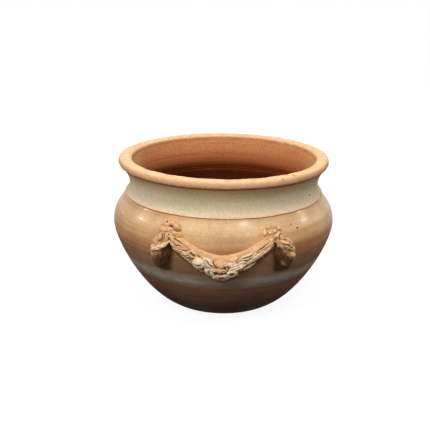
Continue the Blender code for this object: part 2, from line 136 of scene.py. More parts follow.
sample = lumps(np.random.default_rng(0).uniform(-0.2, 0.2, (2000, 3)), 0.02, 1)
print("lumps run from", sample.min().round(2), "to", sample.max().round(2))

# %% [markdown]
# ## Putting points in a mesh
#
# Every new piece is a grid of points worked out by numpy. Two kinds of grid are needed. A turned piece
# closes in both directions, like a ring. A leaf or a fruit closes round itself and ends in a single
# point at each end. The volume that the faces enclose is worked out too. It is below zero when they all
# point inwards, and then they are turned over.

# %% Grids of faces, and a piece made of them
ALL_PIECES = []


def grid_faces(row, column, next_row, next_column, columns):
    corners = (row * columns + column, next_row * columns + column,
               next_row * columns + next_column, row * columns + next_column)
    return np.stack(corners, axis=-1).reshape(-1, 4)


def ring_faces(rows, columns):
    """Four-sided faces of a grid that closes in both directions."""
    row, column = np.indices((rows, columns))
    return grid_faces(row, column, (row + 1) % rows, (column + 1) % columns, columns)


def pod_faces(rows, columns):
    """Faces of a grid that closes round itself, with one end point before it and one after it."""
    row, column = np.indices((rows - 1, columns))
    sides = grid_faces(row, column, row + 1, (column + 1) % columns, columns) + 1
    around = np.arange(columns)
    after = (around + 1) % columns
    last = rows * columns + 1
    start = np.stack([np.zeros_like(around), around + 1, after + 1], axis=1)
    end = np.stack([np.full_like(around, last), after + last - columns, around + last - columns], axis=1)
    return sides, np.vstack([start, end])


def enclosed_volume(mesh):
    """Sum over the triangles of corner . (corner x corner) / 6."""
    mesh.calc_loop_triangles()
    corners = np.zeros(len(mesh.loop_triangles) * 3, np.int32)
    mesh.loop_triangles.foreach_get("vertices", corners)
    places = np.zeros(len(mesh.vertices) * 3, np.float32)
    mesh.vertices.foreach_get("co", places)
    triangles = places.reshape(-1, 3)[corners].reshape(-1, 3, 3).astype(float)
    crossed = np.cross(triangles[:, 1], triangles[:, 2])
    return float(np.einsum("ij,ij->i", triangles[:, 0], crossed).sum() / 6)


def add_object(name, data):
    made = bpy.data.objects.new(name, data)
    bpy.context.scene.collection.objects.link(made)
    return made


def new_piece(name, points, faces, materials, marks, stands_for):
    """Makes the mesh, gives each point its marks, which a material can read, and rides it on the bowl."""
    mesh = bpy.data.meshes.new(name)
    lists = [part.tolist() for part in (faces if isinstance(faces, tuple) else (faces,))]
    mesh.from_pydata(points.reshape(-1, 3).tolist(), [], sum(lists, []))
    for mark, values in marks.items():
        layer = mesh.attributes.new(mark, "FLOAT", "POINT")
        layer.data.foreach_set("value", values.reshape(-1).astype(np.float32))
    for material in materials:
        mesh.materials.append(material)
    if enclosed_volume(mesh) < 0:
        mesh.flip_normals()
    mesh.shade_smooth()
    piece = add_object(name, mesh)
    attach(piece, "root")
    if stands_for:
        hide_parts(stands_for)
    ALL_PIECES.append(piece)
    return piece


# %% [markdown]
# ## Fired clay as a material
#
# Fired clay is matt and grainy: sand and grog stand a little proud, small pits are left where they
# fell out, and the colour drifts from orange to buff with the fire. The grain is worked out once, as a
# node group that gives a height for the bump and a mask for the colour, and each material places it with
# its own grain size. An image could carry the same detail, but a group follows the clay in
# three dimensions, so no seam shows and any piece can use it.

# %% Node helpers
def linear(red, green, blue):
    """A colour picked from a screen, 0 to 255, made linear: ((c + 0.055) / 1.055)^2.4 above the toe."""
    shares = [value / 255 for value in (red, green, blue)]
    bent = [share / 12.92 if share <= 0.04045 else ((share + 0.055) / 1.055) ** 2.4 for share in shares]
    return (*bent, 1.0)


def feed(tree, socket, value):
    """Joins another node's output to the socket, or sets the socket's own value."""
    if isinstance(value, bpy.types.NodeSocket):
        tree.links.new(value, socket)
    else:
        socket.default_value = value


def node(tree, kind, inputs=None, **settings):
    """Adds a node, sets its own settings and feeds its inputs."""
    made = tree.nodes.new("ShaderNode" + kind)
    for key, value in settings.items():
        setattr(made, key, value)
    for key, value in (inputs or {}).items():
        feed(tree, made.inputs[key], value)
    return made


def calculate(tree, operation, first, second=0.0, third=0.0):
    return node(tree, "Math", {0: first, 1: second, 2: third}, operation=operation).outputs[0]


def times(tree, first, second):
    return calculate(tree, "MULTIPLY", first, second)


def plus(tree, first, second):
    return calculate(tree, "ADD", first, second)


def axis(tree, vector, name):
    return node(tree, "SeparateXYZ", {"Vector": vector}).outputs[name]


def noise(tree, vector, scale, detail=2.0, roughness=0.5):
    """Soft random values from 0 to 1, at so many blobs a metre."""
    settings = {"Vector": vector, "Scale": scale, "Detail": detail, "Roughness": roughness}
    return node(tree, "TexNoise", settings).outputs["Fac"]


def spread(tree, value, low, high, to_low=0.0, to_high=1.0):
    """Stretches low..high to to_low..to_high with soft ends, and holds the ends beyond."""
    settings = {"Value": value, "From Min": low, "From Max": high, "To Min": to_low, "To Max": to_high}
    return node(tree, "MapRange", settings, interpolation_type="SMOOTHSTEP").outputs[0]


def patches(tree, vector, scale, detail, roughness, low, high, least=0.0, most=1.0):
    """Noise of that scale, detail and roughness, with low..high stretched to least..most."""
    return spread(tree, noise(tree, vector, scale, detail, roughness), low, high, least, most)


def blend(tree, share, first, second, how="MIX"):
    """First colour at share 0, second at share 1. Multiplied, the second only tints the first."""
    mixed = node(tree, "Mix", {"Factor": share, 6: first, 7: second}, data_type="RGBA", blend_type=how)
    return mixed.outputs[2]


def tinted(tree, colour, *tints):
    """Multiplies the colour by each tint's (red, green, blue), as far as the tint's share says."""
    for share, by in tints:
        colour = blend(tree, share, colour, (*by, 1.0), "MULTIPLY")
    return colour


def new_group(name, inputs, outputs):
    """A shader node group with named sockets. Inputs and outputs say the kind of each socket."""
    group = bpy.data.node_groups.new(name, "ShaderNodeTree")
    for in_out, sockets in (("INPUT", inputs), ("OUTPUT", outputs)):
        for label, kind in sockets.items():
            group.interface.new_socket(label, in_out=in_out, socket_type="NodeSocket" + kind)
    return group, group.nodes.new("NodeGroupInput").outputs, group.nodes.new("NodeGroupOutput").inputs


# %% The grain of the clay
def make_grain_group():
    """Height is fine sand plus low pits. Speck marks dark grog, and Drift is the fire's slow change."""
    group, given, result = new_group(
        "clay_grain",
        {"Vector": "Vector", "Grains a metre": "Float", "Sand height": "Float", "Pit depth": "Float"},
        {"Height": "Float", "Speck": "Float", "Drift": "Float"},
    )
    vector = given["Vector"]
    sand = noise(group, vector, given["Grains a metre"], detail=3.0, roughness=0.65)
    cells = node(group, "TexVoronoi", {"Vector": vector, "Scale": 210.0}, feature="F1")
    pit_size = patches(group, vector, 60.0, 1.0, 0.5, 0.52, 0.72, 0.0, 0.20)
    pit = spread(group, calculate(group, "SUBTRACT", pit_size, cells.outputs["Distance"]), 0.0, 0.08)
    sand_part = times(group, sand, given["Sand height"])
    pit_part = times(group, pit, given["Pit depth"])
    feed(group, result["Height"], calculate(group, "SUBTRACT", sand_part, pit_part))
    feed(group, result["Speck"], pit)
    feed(group, result["Drift"], patches(group, vector, 14.0, 3.0, 0.55, 0.3, 0.7))
    return group


CLAY_GRAIN = make_grain_group()

# %% [markdown]
# The wheel leaves shallow bands, some narrow and some wide, which are easy to see inside the bowl and
# faint outside, where a wet rib smoothed them. A sine wave would space them like a screw thread. Soft noise
# that is squeezed in height, and hardly changes round the bowl, gives bands of uneven width instead.

# %% Bands left by the wheel
def make_rings_group():
    """Ring = noise(x / 0.4, y / 0.4, z / pitch), and height = ring height x (2 ring - 1)."""
    group, given, result = new_group(
        "throwing_rings",
        {"Vector": "Vector", "Pitch": "Float", "Ring height": "Float"},
        {"Height": "Float", "Ring": "Float"},
    )
    place = node(group, "SeparateXYZ", {"Vector": given["Vector"]}).outputs
    up = calculate(group, "DIVIDE", place["Z"], given["Pitch"])
    sides = {name: times(group, place[name], 2.5) for name in ("X", "Y")}
    squeezed = node(group, "CombineXYZ", {**sides, "Z": up}).outputs[0]
    ring = patches(group, squeezed, 1.0, 2.5, 0.55, 0.30, 0.70)
    wave = calculate(group, "MULTIPLY_ADD", ring, 2.0, -1.0)
    feed(group, result["Height"], times(group, wave, given["Ring height"]))
    feed(group, result["Ring"], ring)
    return group


THROWING_RINGS = make_rings_group()

# %% [markdown]
# Lime and salts in the clay creep to the surface and dry as a greyish white bloom, and fingers leave a
# paler slip in some places. The bloom is patchy: a soft noise lets it come and go. A second group darkens
# and reddens the folds with painted shade, and a little dirt: in creases, where pieces meet, and under the
# festoon. It reads a mark on the points of each modelled piece that says where this shade is painted.

# %% Bloom and folds
def make_bloom_group():
    """Mask = amount x patches of soft noise."""
    inputs = {"Vector": "Vector", "Amount": "Float", "Patches a metre": "Float"}
    group, given, result = new_group("lime_bloom", inputs, {"Mask": "Float"})
    broken = patches(group, given["Vector"], given["Patches a metre"], 4.0, 0.7, 0.36, 0.58, 0.20)
    feed(group, result["Mask"], times(group, broken, given["Amount"]))
    return group


def make_fold_group():
    """Painted shade and dirt: mixes the clay's colour to the fold's colour by that mark, broken up by fine
    noise.
    """
    inputs = {"Vector": "Vector", "Colour": "Color", "Fold colour": "Color", "Depth": "Float"}
    group, given, result = new_group("fold_shade_and_dirt", inputs, {"Colour": "Color"})
    mark = node(group, "Attribute", attribute_name="crease").outputs["Fac"]
    broken = noise(group, given["Vector"], 420.0, detail=3.0, roughness=0.6)
    ragged = plus(group, mark, calculate(group, "MULTIPLY_ADD", broken, 0.5, -0.25))
    mask = times(group, spread(group, ragged, 0.15, 0.85), given["Depth"])
    feed(group, result["Colour"], blend(group, mask, given["Colour"], given["Fold colour"]))
    return group


LIME_BLOOM = make_bloom_group()
FOLD_SHADE_AND_DIRT = make_fold_group()
print("node groups:", [group.name for group in bpy.data.node_groups])

# %% [markdown]
# ## A material for each finish
#
# The same clay has several finishes on this bowl. The belly was smoothed with a wet rib and is a little
# glossy, the collar is dry, pale and sandy, the rim is worn buff, and the inside is bare orange clay.
# Each material starts from the same groups and sets its own colours by height: the fire changes the
# colour from the foot to the rim, and the heights also carry painted shade, low on the belly and deep
# inside.

# %% The parts that every clay material shares
def start_material(name):
    """An empty material with a Principled shader; returns its tree, the shader and Object coordinates."""
    material = bpy.data.materials.new(name)
    material.use_nodes = True
    tree = material.node_tree
    return material, tree, tree.nodes["Principled BSDF"], node(tree, "TexCoord").outputs["Object"]


def grain(tree, place, grains, sand, pits):
    inputs = {"Vector": place, "Grains a metre": grains, "Sand height": sand, "Pit depth": pits}
    return node(tree, "Group", inputs, node_tree=CLAY_GRAIN).outputs


def rings(tree, place, pitch, height):
    inputs = {"Vector": place, "Pitch": pitch, "Ring height": height}
    return node(tree, "Group", inputs, node_tree=THROWING_RINGS).outputs


def folds(tree, place, colour, fold_colour, depth):
    inputs = {"Vector": place, "Colour": colour, "Fold colour": fold_colour, "Depth": depth}
    return node(tree, "Group", inputs, node_tree=FOLD_SHADE_AND_DIRT).outputs["Colour"]


def specked(tree, colour, sandy, share, speck_colour):
    """Dark grog, where the grain has its specks."""
    return blend(tree, times(tree, sandy["Speck"], share), colour, speck_colour)


def spot_mark(tree, place, spot, radius):
    """1 within half the radius of a point of the surface and 0 beyond the radius, with a ragged edge."""
    away = node(tree, "VectorMath", {0: place, 1: spot}, operation="DISTANCE").outputs["Value"]
    shake = calculate(tree, "MULTIPLY_ADD", noise(tree, place, 500.0), 0.6 * radius, -0.3 * radius)
    return spread(tree, plus(tree, away, shake), radius, 0.5 * radius)


def by_height(tree, place, stops, waver=0.004):
    """Colours from the foot to the rim: (height, red, green, blue) stops, shaken up and down by noise."""
    shake = calculate(tree, "MULTIPLY_ADD", noise(tree, place, 22.0), 2 * waver, -waver)
    low, high = stops[0][0], stops[-1][0]
    inputs = {"Value": plus(tree, axis(tree, place, "Z"), shake), "From Min": low, "From Max": high}
    ramp = node(tree, "ValToRGB", {"Fac": node(tree, "MapRange", inputs).outputs[0]})
    elements = ramp.color_ramp.elements
    elements[0].color, elements[1].color = linear(*stops[0][1:]), linear(*stops[-1][1:])
    for stop, *colour in stops[1:-1]:
        elements.new((stop - low) / (high - low)).color = linear(*colour)
    return ramp.outputs["Color"]


def finish_clay(tree, shader, colour, height, roughness, specular):
    """Joins a colour, a height in metres and a roughness to the shader. Specular is the same all over."""
    bump = node(tree, "Bump", {"Height": height, "Distance": 1.0, "Strength": 1.0}).outputs[0]
    for name, value in (("Normal", bump), ("Base Color", colour), ("Roughness", roughness)):
        feed(tree, shader.inputs[name], value)
    shader.inputs["Specular IOR Level"].default_value = specular


# %% The belly: ribbed smooth, and painted darker towards the foot as shade
# The stops darken towards the foot: painted shade for the lower belly, which faces the floor.
BELLY_STOPS = (
    (0.0, 96, 78, 68), (0.030, 108, 85, 74), (0.070, 164, 122, 100), (0.085, 156, 118, 92),
    (0.104, 166, 130, 102), (0.118, 173, 135, 107), (0.132, 176, 135, 103), (0.146, 199, 145, 102),
    (0.156, 196, 145, 99), (0.166, 213, 171, 123), (0.176, 212, 171, 122), (0.186, 234, 198, 156),
    (0.194, 237, 201, 158), (0.203, 226, 181, 131),
)
BAND_HEIGHT = 0.0925
BAND_HALF_WIDTH = 0.0185
# Two holes poked in the shoulder beside the right knot, painted only as dark spots of shade: angle, height
# and radius.
BELLY_POKES = ((36.2, 0.1875, 0.0019), (39.4, 0.1805, 0.0027))


def make_belly_clay():
    """Satin clay with the rib's streaks, a pale band of lime low down and a thin shine on the shoulder."""
    material, tree, shader, place = start_material("belly_clay")
    sandy = grain(tree, place, 1100.0, 0.00005, 0.0002)
    ringed = rings(tree, place, 0.0125, 0.00022)
    height = axis(tree, place, "Z")
    sides = calculate(tree, "ABSOLUTE", axis(tree, place, "X"))
    wheel = times(tree, ringed["Ring"], spread(tree, sides, 0.04, 0.14, 0.55, 1.0))
    streaks = spread(tree, rings(tree, place, 0.0042, 0.0)["Ring"], 0.35, 0.75, 0.0, 0.5)
    colour = tinted(
        tree, by_height(tree, place, BELLY_STOPS),
        (patches(tree, place, 26.0, 4.0, 0.62, 0.38, 0.62, 0.0, 0.50), (0.78, 0.70, 0.60)),
        (wheel, (0.76, 0.70, 0.62)),
        (streaks, (0.90, 0.87, 0.84)),
        (patches(tree, place, 360.0, 3.0, 0.75, 0.40, 0.62, 0.0, 0.9), (0.84, 0.80, 0.76)),
    )
    for degrees, spot_height, radius in BELLY_POKES:
        spot = round_axis(wall_radius(spot_height), math.radians(degrees), spot_height).tolist()
        colour = blend(tree, spot_mark(tree, place, spot, radius), colour, linear(110, 60, 34))
    away = calculate(tree, "ABSOLUTE", calculate(tree, "SUBTRACT", height, BAND_HEIGHT))
    band = times(tree, spread(tree, away, BAND_HALF_WIDTH, 0.0), spread(tree, sides, 0.015, 0.060, 0.5))
    limed = times(tree, band, patches(tree, place, 48.0, 4.0, 0.65, 0.34, 0.60, 0.44, 0.84))
    colour = blend(tree, limed, colour, linear(192, 184, 170))
    # Painted shadow under the swag and beside the tails, with some dust, by the mark on the belly's points.
    colour = folds(tree, place, colour, linear(62, 38, 26), 0.78)
    colour = specked(tree, colour, sandy, 0.6, linear(120, 66, 38))
    soft = noise(tree, place, 45.0, detail=3.0)
    relief = plus(tree, sandy["Height"], ringed["Height"])
    relief = plus(tree, relief, plus(tree, times(tree, band, 0.0009), times(tree, soft, 0.0006)))
    gloss = plus(tree, spread(tree, height, 0.10, 0.17, 0.80, 0.50), times(tree, sandy["Drift"], 0.10))
    finish_clay(tree, shader, colour, relief, gloss, 0.03)
    patchy = patches(tree, place, 130.0, 3.0, 0.7, 0.38, 0.58, 0.6)
    coat = times(tree, spread(tree, height, 0.135, 0.185, 0.0, 0.55), patchy)
    feed(tree, shader.inputs["Coat Weight"], coat)
    shader.inputs["Coat Roughness"].default_value = 0.21
    return material


BELLY_CLAY = make_belly_clay()

# %% [markdown]
# Inside, the clay is bare and orange, and it is painted darker downwards, for the shade deep in the bowl.
# At the left and right the fire flashed its upper part a little yellower. The rim was wiped down into the
# inside with a wet finger, so the rim's lowest part takes the lining's look, and no line shows between them.

# %% The lining, the collar, the rim and the base
# Darker downwards: painted shade, deepest where the wall recedes under the shoulder.
LINING_STOPS = (
    (0.0, 58, 30, 20), (0.10, 72, 35, 21), (0.140, 84, 40, 22), (0.165, 102, 48, 24), (0.185, 128, 62, 32),
    (0.195, 172, 89, 48), (0.207, 184, 99, 56), (0.225, 182, 107, 62), (0.245, 204, 134, 85),
    (0.262, 212, 148, 100),
)


def lining_look(tree, place):
    """Colour and ring height of the bare orange inside, for the wall and the wiped part of the rim."""
    ringed = rings(tree, place, 0.0100, 0.00015)
    sides = spread(tree, calculate(tree, "ABSOLUTE", axis(tree, place, "X")), 0.144, 0.164, 0.0, 0.7)
    flashed = times(tree, sides, spread(tree, axis(tree, place, "Z"), 0.195, 0.230))
    colour = blend(tree, flashed, by_height(tree, place, LINING_STOPS), linear(224, 172, 106))
    mottle = patches(tree, place, 300.0, 3.0, 0.75, 0.40, 0.62, 0.0, 0.8)
    ring = times(tree, ringed["Ring"], 0.45)
    return tinted(tree, colour, (ring, (0.84, 0.76, 0.68)), (mottle, (0.76, 0.71, 0.64))), ringed["Height"]


def make_lining_clay():
    """Bare orange clay inside, with plain throwing rings and painted shade that deepens downwards."""
    material, tree, shader, place = start_material("lining_clay")
    sandy = grain(tree, place, 800.0, 0.00010, 0.0003)
    colour, ring_height = lining_look(tree, place)
    colour = specked(tree, colour, sandy, 0.7, linear(98, 50, 30))
    finish_clay(tree, shader, colour, plus(tree, sandy["Height"], ring_height), 0.85, 0.2)
    return material


# The last stops darken to a red-brown line: painted shade under the rim's roll.
COLLAR_STOPS = (
    (0.2025, 244, 200, 164), (0.2065, 240, 214, 186), (0.214, 228, 212, 182), (0.228, 232, 220, 186),
    (0.241, 224, 202, 164), (0.2504, 212, 178, 136), (0.2522, 184, 134, 96), (0.2536, 116, 68, 44),
)
# One dark fleck on the right of the neck: its place and radius.
NECK_FLECK = (0.1471, -0.0856, 0.2181)
NECK_FLECK_RADIUS = 0.0022


def make_collar_clay():
    """Dry pale slip: sandy, greyish, greener in the hollow and pinker at its bottom lip."""
    material, tree, shader, place = start_material("collar_clay")
    sandy = grain(tree, place, 620.0, 0.00045, 0.0004)
    colour = tinted(
        tree, by_height(tree, place, COLLAR_STOPS, 0.0015),
        (patches(tree, place, 700.0, 3.0, 0.8, 0.40, 0.62, 0.0, 0.8), (0.80, 0.78, 0.74)),
        (patches(tree, place, 290.0, 3.0, 0.75, 0.38, 0.62), (0.86, 0.88, 0.84)),
        (patches(tree, place, 190.0, 4.0, 0.7, 0.50, 0.66, 0.0, 0.5), (1.0, 0.90, 0.82)),
    )
    colour = blend(tree, times(tree, sandy["Drift"], 0.22), colour, linear(240, 208, 172))
    fleck = spot_mark(tree, place, NECK_FLECK, NECK_FLECK_RADIUS)
    colour = blend(tree, fleck, colour, linear(80, 60, 44))
    # Painted shade along the collar's bottom edge, where it overhangs the shoulder.
    colour = folds(tree, place, colour, linear(196, 120, 74), 0.7)
    colour = specked(tree, colour, sandy, 0.8, linear(92, 70, 50))
    finish_clay(tree, shader, colour, sandy["Height"], 0.95, 0.15)
    return material


# The first stop is dark: painted shade on the roll's underside.
RIM_STOPS = (
    (0.2540, 160, 104, 72), (0.2554, 200, 152, 116), (0.2590, 211, 168, 129), (0.2650, 221, 182, 140),
    (0.2683, 232, 198, 155),
)
# Reddish spots on the rim: place and radius.
RIM_SPOTS = (((0.0944, -0.1579, 0.2650), 0.0034), ((0.1136, -0.1410, 0.2671), 0.0044),
             ((0.1170, 0.1150, 0.2640), 0.0032), ((-0.1600, -0.0800, 0.2630), 0.0060))
# The wiped part of the rim is where the radius plus half the height is below this.
WIPED_CORNER = 0.2969


def make_rim_clay():
    """Worn buff rim with peach clouds, a few reddish spots and small pits, and the lining's look inside."""
    material, tree, shader, place = start_material("rim_clay")
    sandy = grain(tree, place, 700.0, 0.00020, 0.0006)
    mottle = patches(tree, place, 260.0, 4.0, 0.75, 0.40, 0.64, 0.0, 0.8)
    colour = tinted(tree, by_height(tree, place, RIM_STOPS, 0.001), (mottle, (0.88, 0.80, 0.72)))
    peach = patches(tree, place, 75.0, 3.0, 0.6, 0.46, 0.66, 0.0, 0.65)
    colour = blend(tree, peach, colour, linear(228, 162, 118))
    spots = patches(tree, place, 110.0, 1.0, 0.5, 0.70, 0.76, 0.0, 0.65)
    colour = blend(tree, spots, colour, linear(206, 124, 80))
    flat = node(tree, "VectorMath", {0: place, 1: (1.0, 1.0, 0.0)}, operation="MULTIPLY").outputs[0]
    from_axis = node(tree, "VectorMath", {0: flat}, operation="LENGTH").outputs["Value"]
    corner = calculate(tree, "MULTIPLY_ADD", axis(tree, place, "Z"), 0.5, from_axis)
    inner = spread(tree, corner, WIPED_CORNER + 0.0003, WIPED_CORNER - 0.0003)
    wiped, ring_height = lining_look(tree, place)
    colour = blend(tree, inner, colour, wiped)
    for spot, radius in RIM_SPOTS:
        colour = blend(tree, spot_mark(tree, place, spot, radius), colour, linear(212, 132, 88))
    colour = folds(tree, place, colour, linear(176, 108, 66), 0.8)
    colour = specked(tree, colour, sandy, 0.75, linear(132, 88, 58))
    relief = plus(tree, sandy["Height"], times(tree, ring_height, inner))
    finish_clay(tree, shader, colour, relief, 0.85, 0.2)
    return material


def make_base_clay():
    """The underside and the floor: dark, damp clay, rough from the wire that cut it off the wheel."""
    material, tree, shader, place = start_material("base_clay")
    sandy = grain(tree, place, 600.0, 0.00030, 0.0006)
    colour = by_height(tree, place, ((0.0, 128, 92, 68), (0.016, 120, 62, 38)), 0.001)
    colour = blend(tree, times(tree, sandy["Drift"], 0.4), colour, linear(160, 108, 76))
    finish_clay(tree, shader, colour, sandy["Height"], 0.92, 0.2)
    return material


LINING_CLAY = make_lining_clay()
COLLAR_CLAY = make_collar_clay()
RIM_CLAY = make_rim_clay()
BASE_CLAY = make_base_clay()

# %% [markdown]
# ## The turned pieces
#
# A turned piece is its outline carried round the axis. Blender's Screw modifier does that, but numpy can
# also press the finger marks into it in the same step: every point is moved a little into the clay,
# along the outline's own normal. Only the rim's outer face swells outwards, in two places. The corners are
# softened first, because fired clay has no sharp edge.

# %% Turning an outline
# The outline has more points within this height of the ledge, where the collar meets the belly.
LEDGE_ZONE = 0.004


def walk(outline, spacing):
    """Points every spacing along a closed outline, five times closer near the ledge, with its corners
    softened by a (1, 2, 1) mean."""
    after = np.roll(outline, -1, axis=0)
    fine = [np.linspace(start, end, 12, endpoint=False) for start, end in zip(outline, after)]
    fine = np.vstack([*fine, outline[:1]])
    steps = np.linalg.norm(np.diff(fine, axis=0), axis=1)
    from_ledge = (fine[1:, 1] - LEDGE_HEIGHT) / LEDGE_ZONE
    weights = steps * (1 + 4 * np.exp(-(from_ledge**2)))
    along = np.concatenate([[0.0], np.cumsum(weights)])
    count = int(round(along[-1] / spacing))
    stations = np.arange(count) * along[-1] / count
    points = np.stack([np.interp(stations, along, fine[:, i]) for i in (0, 1)], axis=1)
    for _ in range(2):
        points = (np.roll(points, 1, axis=0) + 2 * points + np.roll(points, -1, axis=0)) / 4
    return points


def turn(angle, outline, relief):
    """Carries the outline (r, z) round, each point first moved into the clay by relief(a, r, z)."""
    run = np.roll(outline, -1, axis=0) - np.roll(outline, 1, axis=0)
    run /= np.linalg.norm(run, axis=1, keepdims=True)
    radius, height = outline[:, :1], outline[:, 1:]
    depth = relief(angle, radius, height)
    return round_axis(radius + depth * run[:, 1:], angle, height - depth * run[:, :1])


# %% [markdown]
# The belly is one closed wall from its top edge down the outside, under the foot and up the inside. Its
# outside is nearly even. The inside keeps the fingers' rings, because no rib ever smoothed it. A shadow
# and some dust are painted along the festoon: each point of the wall near it gets a mark, worked out from
# the festoon's own places below, so the belly is made after them.

# %% Outlines of the turned pieces
def column(radius_at, start, end, count):
    height = np.linspace(start, end, count)
    return np.stack([radius_at(height), height], axis=1)


BELLY_TOP = 0.2027
LAP_HEIGHT = 0.1977
SPIGOT_RADIUS = 0.1717
SPIGOT_HEIGHT = 0.198
NECK_HEIGHT = 0.221
NECK_RADIUS = 0.170
COLLAR_TOP = 0.252
LEDGE_RADIUS = 0.178
FLARE_RADIUS = 0.1825
RIM_CENTRE = (0.177, 0.2583)
RIM_COIL_RADIUS = 0.010
RIM_INNER_REACH = 0.0134
RIM_UNDERSIDE = 0.2541
RIM_LOW_REACH = 0.0062
# Corners of the joints and of the rim's skirt, each (radius, height).
FOOT_RING = ((0.1000, 0.0), (0.0803, 0.0), (0.0803, 0.0067), (0.0853, 0.0067))
LAP = ((0.172, LAP_HEIGHT), (0.172, BELLY_TOP))
TONGUE = ((0.173, COLLAR_TOP), (0.173, 0.256), (0.179, 0.256), (0.179, COLLAR_TOP))
RIM_SKIRT = ((0.1590, 0.2260), (0.1583, 0.2300), (0.1585, 0.2330), (0.1592, 0.2370), (0.1608, 0.2450),
             (0.1624, 0.2530))
RIM_BACK = ((0.1793, RIM_UNDERSIDE), (0.1793, 0.2563), (0.1727, 0.2563), (0.1727, 0.2523), (0.1690, 0.2440),
            (0.1630, 0.2260))
BASE_OUTLINE = np.array([(0.085, 0.015), (0.085, 0.007), (0.080, 0.007), (0.080, 0.001), (0.014, 0.001),
                         (0.014, 0.015)])


def collar_radius(height):
    """Parabolas that meet at the neck: neck + (end - neck) t^2, with t from 0 at the neck to 1."""
    below = (NECK_HEIGHT - height) / (NECK_HEIGHT - LEDGE_HEIGHT)
    above = (height - NECK_HEIGHT) / (COLLAR_TOP - NECK_HEIGHT)
    low = NECK_RADIUS + (LEDGE_RADIUS - NECK_RADIUS) * below**2
    high = NECK_RADIUS + (FLARE_RADIUS - NECK_RADIUS) * above**2
    return np.where(height <= NECK_HEIGHT, low, high)


def collar_lining(height):
    return collar_radius(height) - WALL


def belly_outline():
    outside = column(wall_radius, BELLY_TOP, 0.003, 300)
    inside = column(lining_radius, FLOOR_HEIGHT, LAP_HEIGHT, 300)
    return np.vstack([outside, FOOT_RING, inside, LAP])


def collar_outline():
    """The tongue stands on the top, whose outer edge curls up a little."""
    outside = column(collar_radius, COLLAR_TOP + 0.0016, LEDGE_HEIGHT, 120)
    inside = column(collar_lining, LEDGE_HEIGHT, COLLAR_TOP, 120)
    spigot = [(SPIGOT_RADIUS, LEDGE_HEIGHT), (SPIGOT_RADIUS, SPIGOT_HEIGHT),
              (float(lining_radius(SPIGOT_HEIGHT)), SPIGOT_HEIGHT)]
    return np.vstack([outside, spigot, inside, TONGUE])


def rim_outline():
    """Up the skirt that was wiped down inside, over a flattened roll, and back through the groove.

    The roll is x = a |cos t|^(2/n), z = b |sin t|^(2/n), wider on the inside and lower on the underside.
    On top n is 2.9 outside and 3.3 inside, and it is 2.4 below. The skirt runs on in the direction in
    which the lining leans where it leaves it."""
    low_share = (RIM_CENTRE[1] - RIM_UNDERSIDE) / RIM_LOW_REACH
    angle = np.linspace(math.pi, -math.asin(low_share**1.2), 200)
    power = np.where(np.sin(angle) > 0, np.where(np.cos(angle) > 0, 2 / 2.9, 2 / 3.3), 2 / 2.4)
    wide = np.where(np.cos(angle) < 0, RIM_INNER_REACH, RIM_COIL_RADIUS)
    tall = np.where(np.sin(angle) > 0, RIM_COIL_RADIUS, RIM_LOW_REACH)
    x = wide * np.sign(np.cos(angle)) * np.abs(np.cos(angle)) ** power
    z = tall * np.sign(np.sin(angle)) * np.abs(np.sin(angle)) ** power
    roll = np.stack([RIM_CENTRE[0] + x, RIM_CENTRE[1] + z], axis=1)
    return np.vstack([RIM_SKIRT, roll, RIM_BACK])


# %% [markdown]
# ## Where the festoon lies
#
# A festoon is laid on a curved wall, so its places are easiest to say as an angle round the bowl and a
# height. From those come a point on the wall and the direction straight out of it. The swag is a rope that
# hangs in a V with a rounded foot between two knots, and a tail hangs from each knot. A point on a
# rope is then its place along the rope, the angle round the rope, and a lift off its skin.

# %% Places on the wall
def unit(vectors):
    return vectors / np.linalg.norm(vectors, axis=-1, keepdims=True)


def wall_slope(height, step=0.0005):
    return (wall_radius(height + step) - wall_radius(height - step)) / (2 * step)


def wall_out(angle, height):
    """Straight out of the wall: the radial direction, less the wall's slope dr/dz times up."""
    return unit(round_axis(1.0, np.radians(angle), -wall_slope(height)))


def wall_point(angle, height, lift=0.0):
    """(r sin a, -r cos a, z) on the wall, plus the lift times the way out."""
    foot = round_axis(wall_radius(height), np.radians(angle), height)
    return foot + wall_out(angle, height) * np.asarray(lift)[..., None]


def wrap(degrees):
    """The same direction, from -180 up to 180 degrees."""
    return (degrees + 180) % 360 - 180


def rotated(x, y, degrees):
    """x and y after a turn by that angle."""
    run_x, run_y = math.cos(math.radians(degrees)), math.sin(math.radians(degrees))
    return x * run_x - y * run_y, x * run_y + y * run_x


def settle(points, depth=0.003):
    """Pulls hidden points back out until none is deeper in the wall than that."""
    radius = np.hypot(points[..., 0], points[..., 1])
    least = wall_radius(points[..., 2]) - depth
    grow = np.maximum(least / np.maximum(radius, 1e-9), 1.0)
    return points * np.stack([grow, grow, np.ones_like(grow)], axis=-1)


# %% Ropes along the wall
Rope = namedtuple("Rope", "place radius sink")

SWAG_END_ANGLE = 23.5
SWAG_LOWEST = 0.1255
SWAG_SAG = 0.0425
SWAG_BEND = 0.20
SWAG_END_RADIUS = 0.0105
SWAG_MIDDLE_RADIUS = 0.0220
TAIL_TOP_ANGLE = 27.2
TAIL_SPREAD = 5.4
TAIL_TOP = 0.178
TAIL_DROP = 0.056
TAIL_END_RADIUS = 0.009
TAIL_MIDDLE_RADIUS = 0.0165


def swag_place(share):
    """A V with a rounded foot: height = lowest + sag (hypot(share, bend) - bend), made 1 at the ends."""
    rise = np.hypot(share, SWAG_BEND) - SWAG_BEND
    full_rise = math.hypot(1.0, SWAG_BEND) - SWAG_BEND
    return share * SWAG_END_ANGLE, SWAG_LOWEST + SWAG_SAG * rise / full_rise


def swag_radius(share):
    """Slim at the knots, full in the middle: end + (middle - end) exp(-(share / 0.42)^2)."""
    return SWAG_END_RADIUS + (SWAG_MIDDLE_RADIUS - SWAG_END_RADIUS) * np.exp(-((share / 0.42) ** 2))


